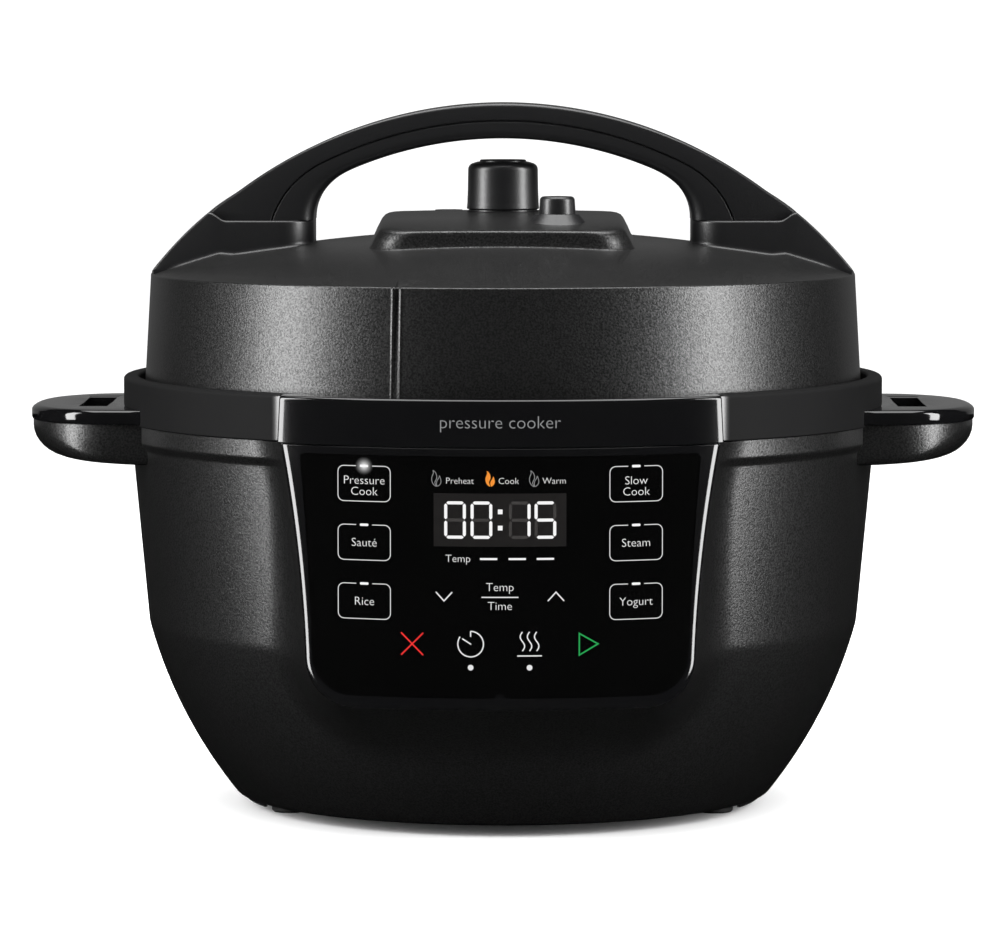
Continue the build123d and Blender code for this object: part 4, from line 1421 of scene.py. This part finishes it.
class COOKER_OT_print(bpy.types.Operator):
    """Prints the keys, words and clock on the window"""

    bl_idname = "cooker.print"
    bl_label = "Panel print"

    def execute(self, context):
        line = mm(sizes().print_line)
        white, dim = [], []
        for z, (left, right) in zip(KEY_ROWS, KEY_WORDS):
            for x, lines in ((-KEY_X, left), (KEY_X, right)):
                white.append(stroke(key_outline(x, z), line))
                for i, text in enumerate(lines):
                    drop = 0.0 if len(lines) == 1 else (2.1 - 4.5 * i - 0.7)
                    white.append(words(text, x, z + drop - 0.15, 4.9))
        for x, text in ((-16.3, "Preheat"), (3.5, "Cook"), (22.0, "Warm")):
            white.append(words(text, x, 154.0, 3.7))
        white.append(words("Temp", -17.0, 122.4, 4.4))
        white.append(words("Temp", 0, 110.8, 4.9))
        white.append(words("Time", 0, 103.1, 4.9))
        white.append(stroke([(-7.5, 106.8), (7.5, 106.8)], 0.45))
        for x, rise in ((-22.7, -1.8), (22.7, 1.8)):
            arms = [(x - 3.3, 107.0 - rise), (x, 107.0 + rise), (x + 3.3, 107.0 - rise)]
            white.append(stroke(arms, 0.5))
        white += self.timer(-11.9, 87.7) + self.steam(12.0, 88.5)
        for x in (-25.9, 13.7):
            dim += [stroke(loop, 0.26, closed=True) for loop in flame(x, 155.0, 6.4)]
        dim.append(self.onto_band(words("pressure cooker", 0.0, 0.0, 7.4), 177.6))
        ink = bpy.context.scene.cooker_colours.ink
        # The white print and the grey lettering, the band's as well, give off their own light: a
        # painted glow that makes the ink look bright, with no lamp behind it.
        piece("printed_words", white, "base", lit("painted_glow_white_ink", ink), "display")
        piece("printed_grey", dim, "base", lit("painted_glow_grey_ink", "#8C8D8E"), "display")
        return {"FINISHED"}

    def onto_band(self, shell, z):
        """Moves lettering from the window out to the band above it."""
        points, corners, counts = shell
        x, lift = points[:, 0], np.hypot(points[:, 0], points[:, 1]) - LENS_R
        y = -np.sqrt((BAND_R + lift) ** 2 - x**2)
        return np.stack([x, y, points[:, 2] + z], -1), corners, counts

    def timer(self, x, z):
        """Clock dial open at its upper left, with a hand, and a dot below."""
        dial = circle(x, z, 5.2, -215.0, 90.0, 60)
        return [
            stroke(dial, 0.5),
            stroke([(x, z + 5.2), (x, z + 3.0)], 0.5),
            stroke([(x - 3.4, z + 2.2), (x + 0.2, z - 0.1)], 0.5),
            filled(circle(x, z - 9.6, 1.15)),
        ]

    def steam(self, x, z):
        """Three rising waves over a line, and a dot below."""
        t = np.linspace(0, 1, 16)
        waves = [
            stroke(np.stack([x + k + 0.9 * np.sin(2 * math.pi * t), z - 3.6 + 7.8 * t], -1), 0.5)
            for k in (-2.9, 0.0, 2.9)
        ]
        waves.append(stroke([(x - 5.0, z - 5.6), (x + 5.0, z - 5.6)], 0.5))
        waves.append(filled(circle(x, z - 10.4, 1.15)))
        return waves


class COOKER_OT_lamps(bpy.types.Operator):
    """Lights the clock, the key bars and the coloured marks"""

    bl_idname = "cooker.lamps"
    bl_label = "Clock and lamps"

    def execute(self, context):
        base_z = 138.2
        window = patch(0.0, base_z, 26.9, 10.8, lift=0.02, base=-0.1)
        piece("clock_window", [window], "base", display_face(), "display")
        ghosts, digits = [], []
        width, height, thick = 8.8, 15.2, 1.25
        for x, value in ((-18.2, "0"), (-7.5, "0"), (8.0, "1"), (18.4, "5")):
            for letter in SEGMENTS:
                lit_up = letter in DIGITS[value]
                bar = segment(x, base_z, letter, width, height, thick, 0.09 if lit_up else 0.05)
                (digits if lit_up else ghosts).append(bar)
        for z in (base_z - 3.2, base_z + 3.4):
            digits.append(patch(0.1, z, 0.95, 0.95, lift=0.09))
        piece("clock_ghosts", ghosts, "base", ghost_segments(), "display")
        white = lit("white_lamp", "#F6F6F6")
        for z in KEY_ROWS:
            for x in (-KEY_X, KEY_X):
                digits.append(patch(x, z + KEY_HALF[1], 1.75, 0.5, 0.4, lift=0.07))
        for x in (-4.6, 7.0, 18.4):
            digits.append(patch(x, 122.4, 3.5, 0.4, lift=0.07))
        piece("clock_digits", digits, "base", white, "display")
        cross = [stroke([(-40.2, 92.0), (-31.2, 82.9)], 0.6)]
        cross.append(stroke([(-40.2, 82.9), (-31.2, 92.0)], 0.6, lift=0.06))
        piece("stop_mark", cross, "base", lit("red_lamp", "#E0221F"), "display")
        start = [stroke([(32.2, 91.8), (39.8, 87.4), (32.2, 83.0)], 0.6, closed=True)]
        piece("start_mark", start, "base", lit("green_lamp", "#0E9C4A"), "display")
        fire = [filled(loop) for loop in flame(-4.1, 155.0, 6.4)]
        piece("cook_flame", fire, "base", lit("orange_lamp", "#F0902C"), "display")
        x, z = -KEY_X, KEY_ROWS[0] + KEY_HALF[1]
        halo = [patch(x, z, 4.2, 4.2, 4.2, lift=0.02, base=-0.1)]
        piece("key_glow", halo, "base", glow("lamp_glow", "#FFFFFF", x, z, 4.0), "display")
        return {"FINISHED"}


class COOKER_OT_lid(bpy.types.Operator):
    """Moulds the lid's cover and the plateau on it"""

    bl_idname = "cooker.lid"
    bl_label = "Lid"

    def execute(self, context):
        skin = ("lid", textured_abs(), "textured_plastic")
        piece("lid_moulding", [lid_surface()], *skin, ["lid_cover"], 50)
        piece("vent_plateau", [vent_surface()], *skin, ["vent_housing"], 60)
        top = float(vent_top(*FLOAT_AXIS))
        low, high, near, far = top - 1.5, top + 0.5, 3.4, 6.2
        ring = rounded([(near, low, 0.2), (far, low, 0.2), (far, high, 0.5), (near, high, 0.3)])
        low, high, near, far = 254.0, 258.55, 6.2, 14.9
        seat = rounded([(near, low, 0), (far, low, 0.3), (far, high, 0.3), (near, high, 0)])
        well = [turned(ring, 64, FLOAT_AXIS, ring=True), turned(seat, 96, ring=True)]
        piece("valve_seats", well, "lid", satin_abs(), "satin_plastic")
        return {"FINISHED"}


class COOKER_OT_lid_handle(bpy.types.Operator):
    """Builds the arched handle and the blocks that it stands on"""

    bl_idname = "cooker.lid_handle"
    bl_label = "Lid handle"

    def execute(self, context):
        skin = ("lid", satin_abs(), "satin_plastic")
        piece("arch_upper", [arch_upper_surface()], *skin, ["handle_shell"], 45)
        piece("arch_core", [arch_core_surface()], *skin)
        piece("arch_lower", [arch_lower_surface()], *skin, ["handle_grip"], 45)
        for name, side in (("left", -1), ("right", 1)):
            piece(f"arch_root_{name}", [root_surface(side)], *skin, [f"handle_root_{name}"], 45)
        return {"FINISHED"}


class COOKER_OT_steam_release(bpy.types.Operator):
    """Turns the steam knob, the release button and its collar"""

    bl_idname = "cooker.steam_release"
    bl_label = "Steam release"

    def execute(self, context):
        skin = (satin_abs(), "satin_plastic")
        knob = [turned(knob_profile(), 128)]
        piece("knob_moulding", knob, "steam_release", *skin, ["steam_knob"], 40)
        low, high = COLLAR_LOW[2] - 0.8, COLLAR_HIGH[2]
        cone = [(7.8, low, 0), (13.8, low, 0.3), (13.2, low + 1.3, 0.8), (9.3, high, 0.7)]
        cone = rounded([*cone, (7.8, high, 0.4)], steps=6)
        boss = [turned(cone, 96, BUTTON_AXIS, ring=True)]
        piece("button_boss", boss, "lid", *skin, ["button_collar"], 40)
        r, foot = 7.7, BUTTON_LOW[2]
        cap = [(0, 252.9, 0), (r, 252.9, 0.3), (r, 260.0, 3.0), (r - 0.35, 265.4, 1.7)]
        cap = rounded([*cap, (0, 265.7, 0)], steps=8, closed=False)
        stem = [(0, foot, 0), (2.5, foot, 0.4), (2.5, 254.0, 0), (0, 254.0, 0)]
        stem = rounded(stem, closed=False)
        made = [turned(cap, 96, BUTTON_AXIS), turned(stem, 48, BUTTON_AXIS)]
        piece("button_moulding", made, "button", *skin, ["release_button"], 40)
        return {"FINISHED"}


class COOKER_OT_stage(bpy.types.Operator):
    """Sets a pale floor, soft studio lights and the camera"""

    bl_idname = "cooker.stage"
    bl_label = "Stage"

    def execute(self, context):
        stage = context.scene.cooker_stage
        self.floor()
        self.world(context)
        for side in (-1, 1):
            self.panel_light("strip", side * 69.0, 12.0, 1.6, (0.42, 1.5), stage.strip)
        self.panel_light("overhead", 0.0, 88.0, 1.4, (1.6, 1.2), stage.fill)
        self.panel_light("back", 180.0, 14.0, 2.4, (5.0, 1.6), stage.back)
        self.camera(context, stage)
        context.scene.view_settings.view_transform = "Standard"
        if context.scene.camera is None:
            raise RuntimeError("the stage has no camera")
        return {"FINISHED"}

    def floor(self):
        """A wide flat sheet under the feet that glossy parts don't mirror."""
        reach = np.linspace(-9000.0, 9000.0, 3)
        x, y = np.meshgrid(reach, reach)
        corners = np.stack([x, y, np.zeros_like(x)], -1).reshape(-1, 3)
        faces = [[i, i + 1, i + 4, i + 3] for i in (0, 1, 3, 4)]
        mesh = bpy.data.meshes.new("floor")
        mesh.from_pydata((corners * 0.001).tolist(), [], faces)
        obj = bpy.data.objects.new("floor", mesh)
        bpy.context.scene.collection.objects.link(obj)
        paint = plain_finish("pale_floor", "#FCFCFC", "#FFFFFF", (0.8, 0.9), 0.4)
        mesh.materials.append(paint)
        obj.visible_glossy = False

    def world(self, context):
        """White surroundings that light the floor but aren't mirrored by gloss."""
        world = bpy.data.worlds.new("studio")
        world.use_nodes = True
        background = world.node_tree.nodes["Background"]
        background.inputs["Color"].default_value = (1.0, 1.0, 1.0, 1.0)
        background.inputs["Strength"].default_value = 1.2
        world.cycles_visibility.glossy = False
        context.scene.world = world

    def panel_light(self, name, azimuth, elevation, distance, size, brightness):
        """An area light aimed at the object, with the brightness of its face given."""
        data = bpy.data.lights.new(name, "AREA")
        data.shape = "RECTANGLE"
        data.size, data.size_y = size
        data.energy = brightness * math.pi * size[0] * size[1]
        obj = bpy.data.objects.new(name, data)
        bpy.context.scene.collection.objects.link(obj)
        a, e = math.radians(azimuth), math.radians(elevation)
        way = np.array([math.sin(a) * math.cos(e), -math.cos(a) * math.cos(e), math.sin(e)])
        target = np.array([0.0, 0.0, 0.15])
        obj.location = target + way * distance
        obj.rotation_euler = self.facing(-way)
        obj.visible_camera = False

    def facing(self, way):
        """Turn that points an object's -Z along a direction with its Y kept upright."""
        pitch = math.atan2(math.hypot(way[0], way[1]), -way[2])
        return (pitch, 0.0, math.atan2(-way[0], way[1]))

    def camera(self, context, stage):
        """A long lens at the settings' place, aimed a little over the middle."""
        data = bpy.data.cameras.new("view")
        data.lens = stage.lens
        data.sensor_width = 36.0
        obj = bpy.data.objects.new("view", data)
        context.scene.collection.objects.link(obj)
        obj.location = (stage.aside, -stage.distance, stage.height)
        way = np.array([-0.0013, 0.0, stage.aim]) - np.array(obj.location)
        obj.rotation_euler = self.facing(way)
        context.scene.camera = obj


class COOKER_PT_panel(bpy.types.Panel):
    """Lists the cooker's settings and steps"""

    bl_label = "Pressure cooker"
    bl_idname = "COOKER_PT_panel"
    bl_space_type = "VIEW_3D"
    bl_region_type = "UI"
    bl_category = "Cooker"

    def draw(self, context):
        for group in ("cooker_sizes", "cooker_colours", "cooker_stage"):
            settings = getattr(context.scene, group)
            box = self.layout.box()
            for name in settings.__annotations__:
                box.prop(settings, name)
        for step in STEPS:
            self.layout.operator(step.bl_idname)


STEPS = (
    COOKER_OT_finishes,
    COOKER_OT_body,
    COOKER_OT_rim,
    COOKER_OT_side_handles,
    COOKER_OT_panel,
    COOKER_OT_print,
    COOKER_OT_lamps,
    COOKER_OT_lid,
    COOKER_OT_lid_handle,
    COOKER_OT_steam_release,
    COOKER_OT_stage,
)
GROUPS = (
    ("cooker_sizes", CookerSizes),
    ("cooker_colours", CookerColours),
    ("cooker_stage", StageSettings),
)


def register():
    """Adds the settings, the steps and the panel to Blender."""
    for name, group in GROUPS:
        bpy.utils.register_class(group)
        setattr(bpy.types.Scene, name, PointerProperty(type=group))
    for step in STEPS:
        bpy.utils.register_class(step)
    bpy.utils.register_class(COOKER_PT_panel)


def unregister():
    """Takes them out again, in the opposite order."""
    bpy.utils.unregister_class(COOKER_PT_panel)
    for step in reversed(STEPS):
        bpy.utils.unregister_class(step)
    for name, group in reversed(GROUPS):
        delattr(bpy.types.Scene, name)
        bpy.utils.unregister_class(group)


def main():
    """Runs every step in order."""
    register()
    for step in STEPS:
        group, name = step.bl_idname.split(".")
        if getattr(getattr(bpy.ops, group), name)() != {"FINISHED"}:
            raise RuntimeError(f"{step.bl_label} did not finish")


if __name__ == "__main__":
    main()
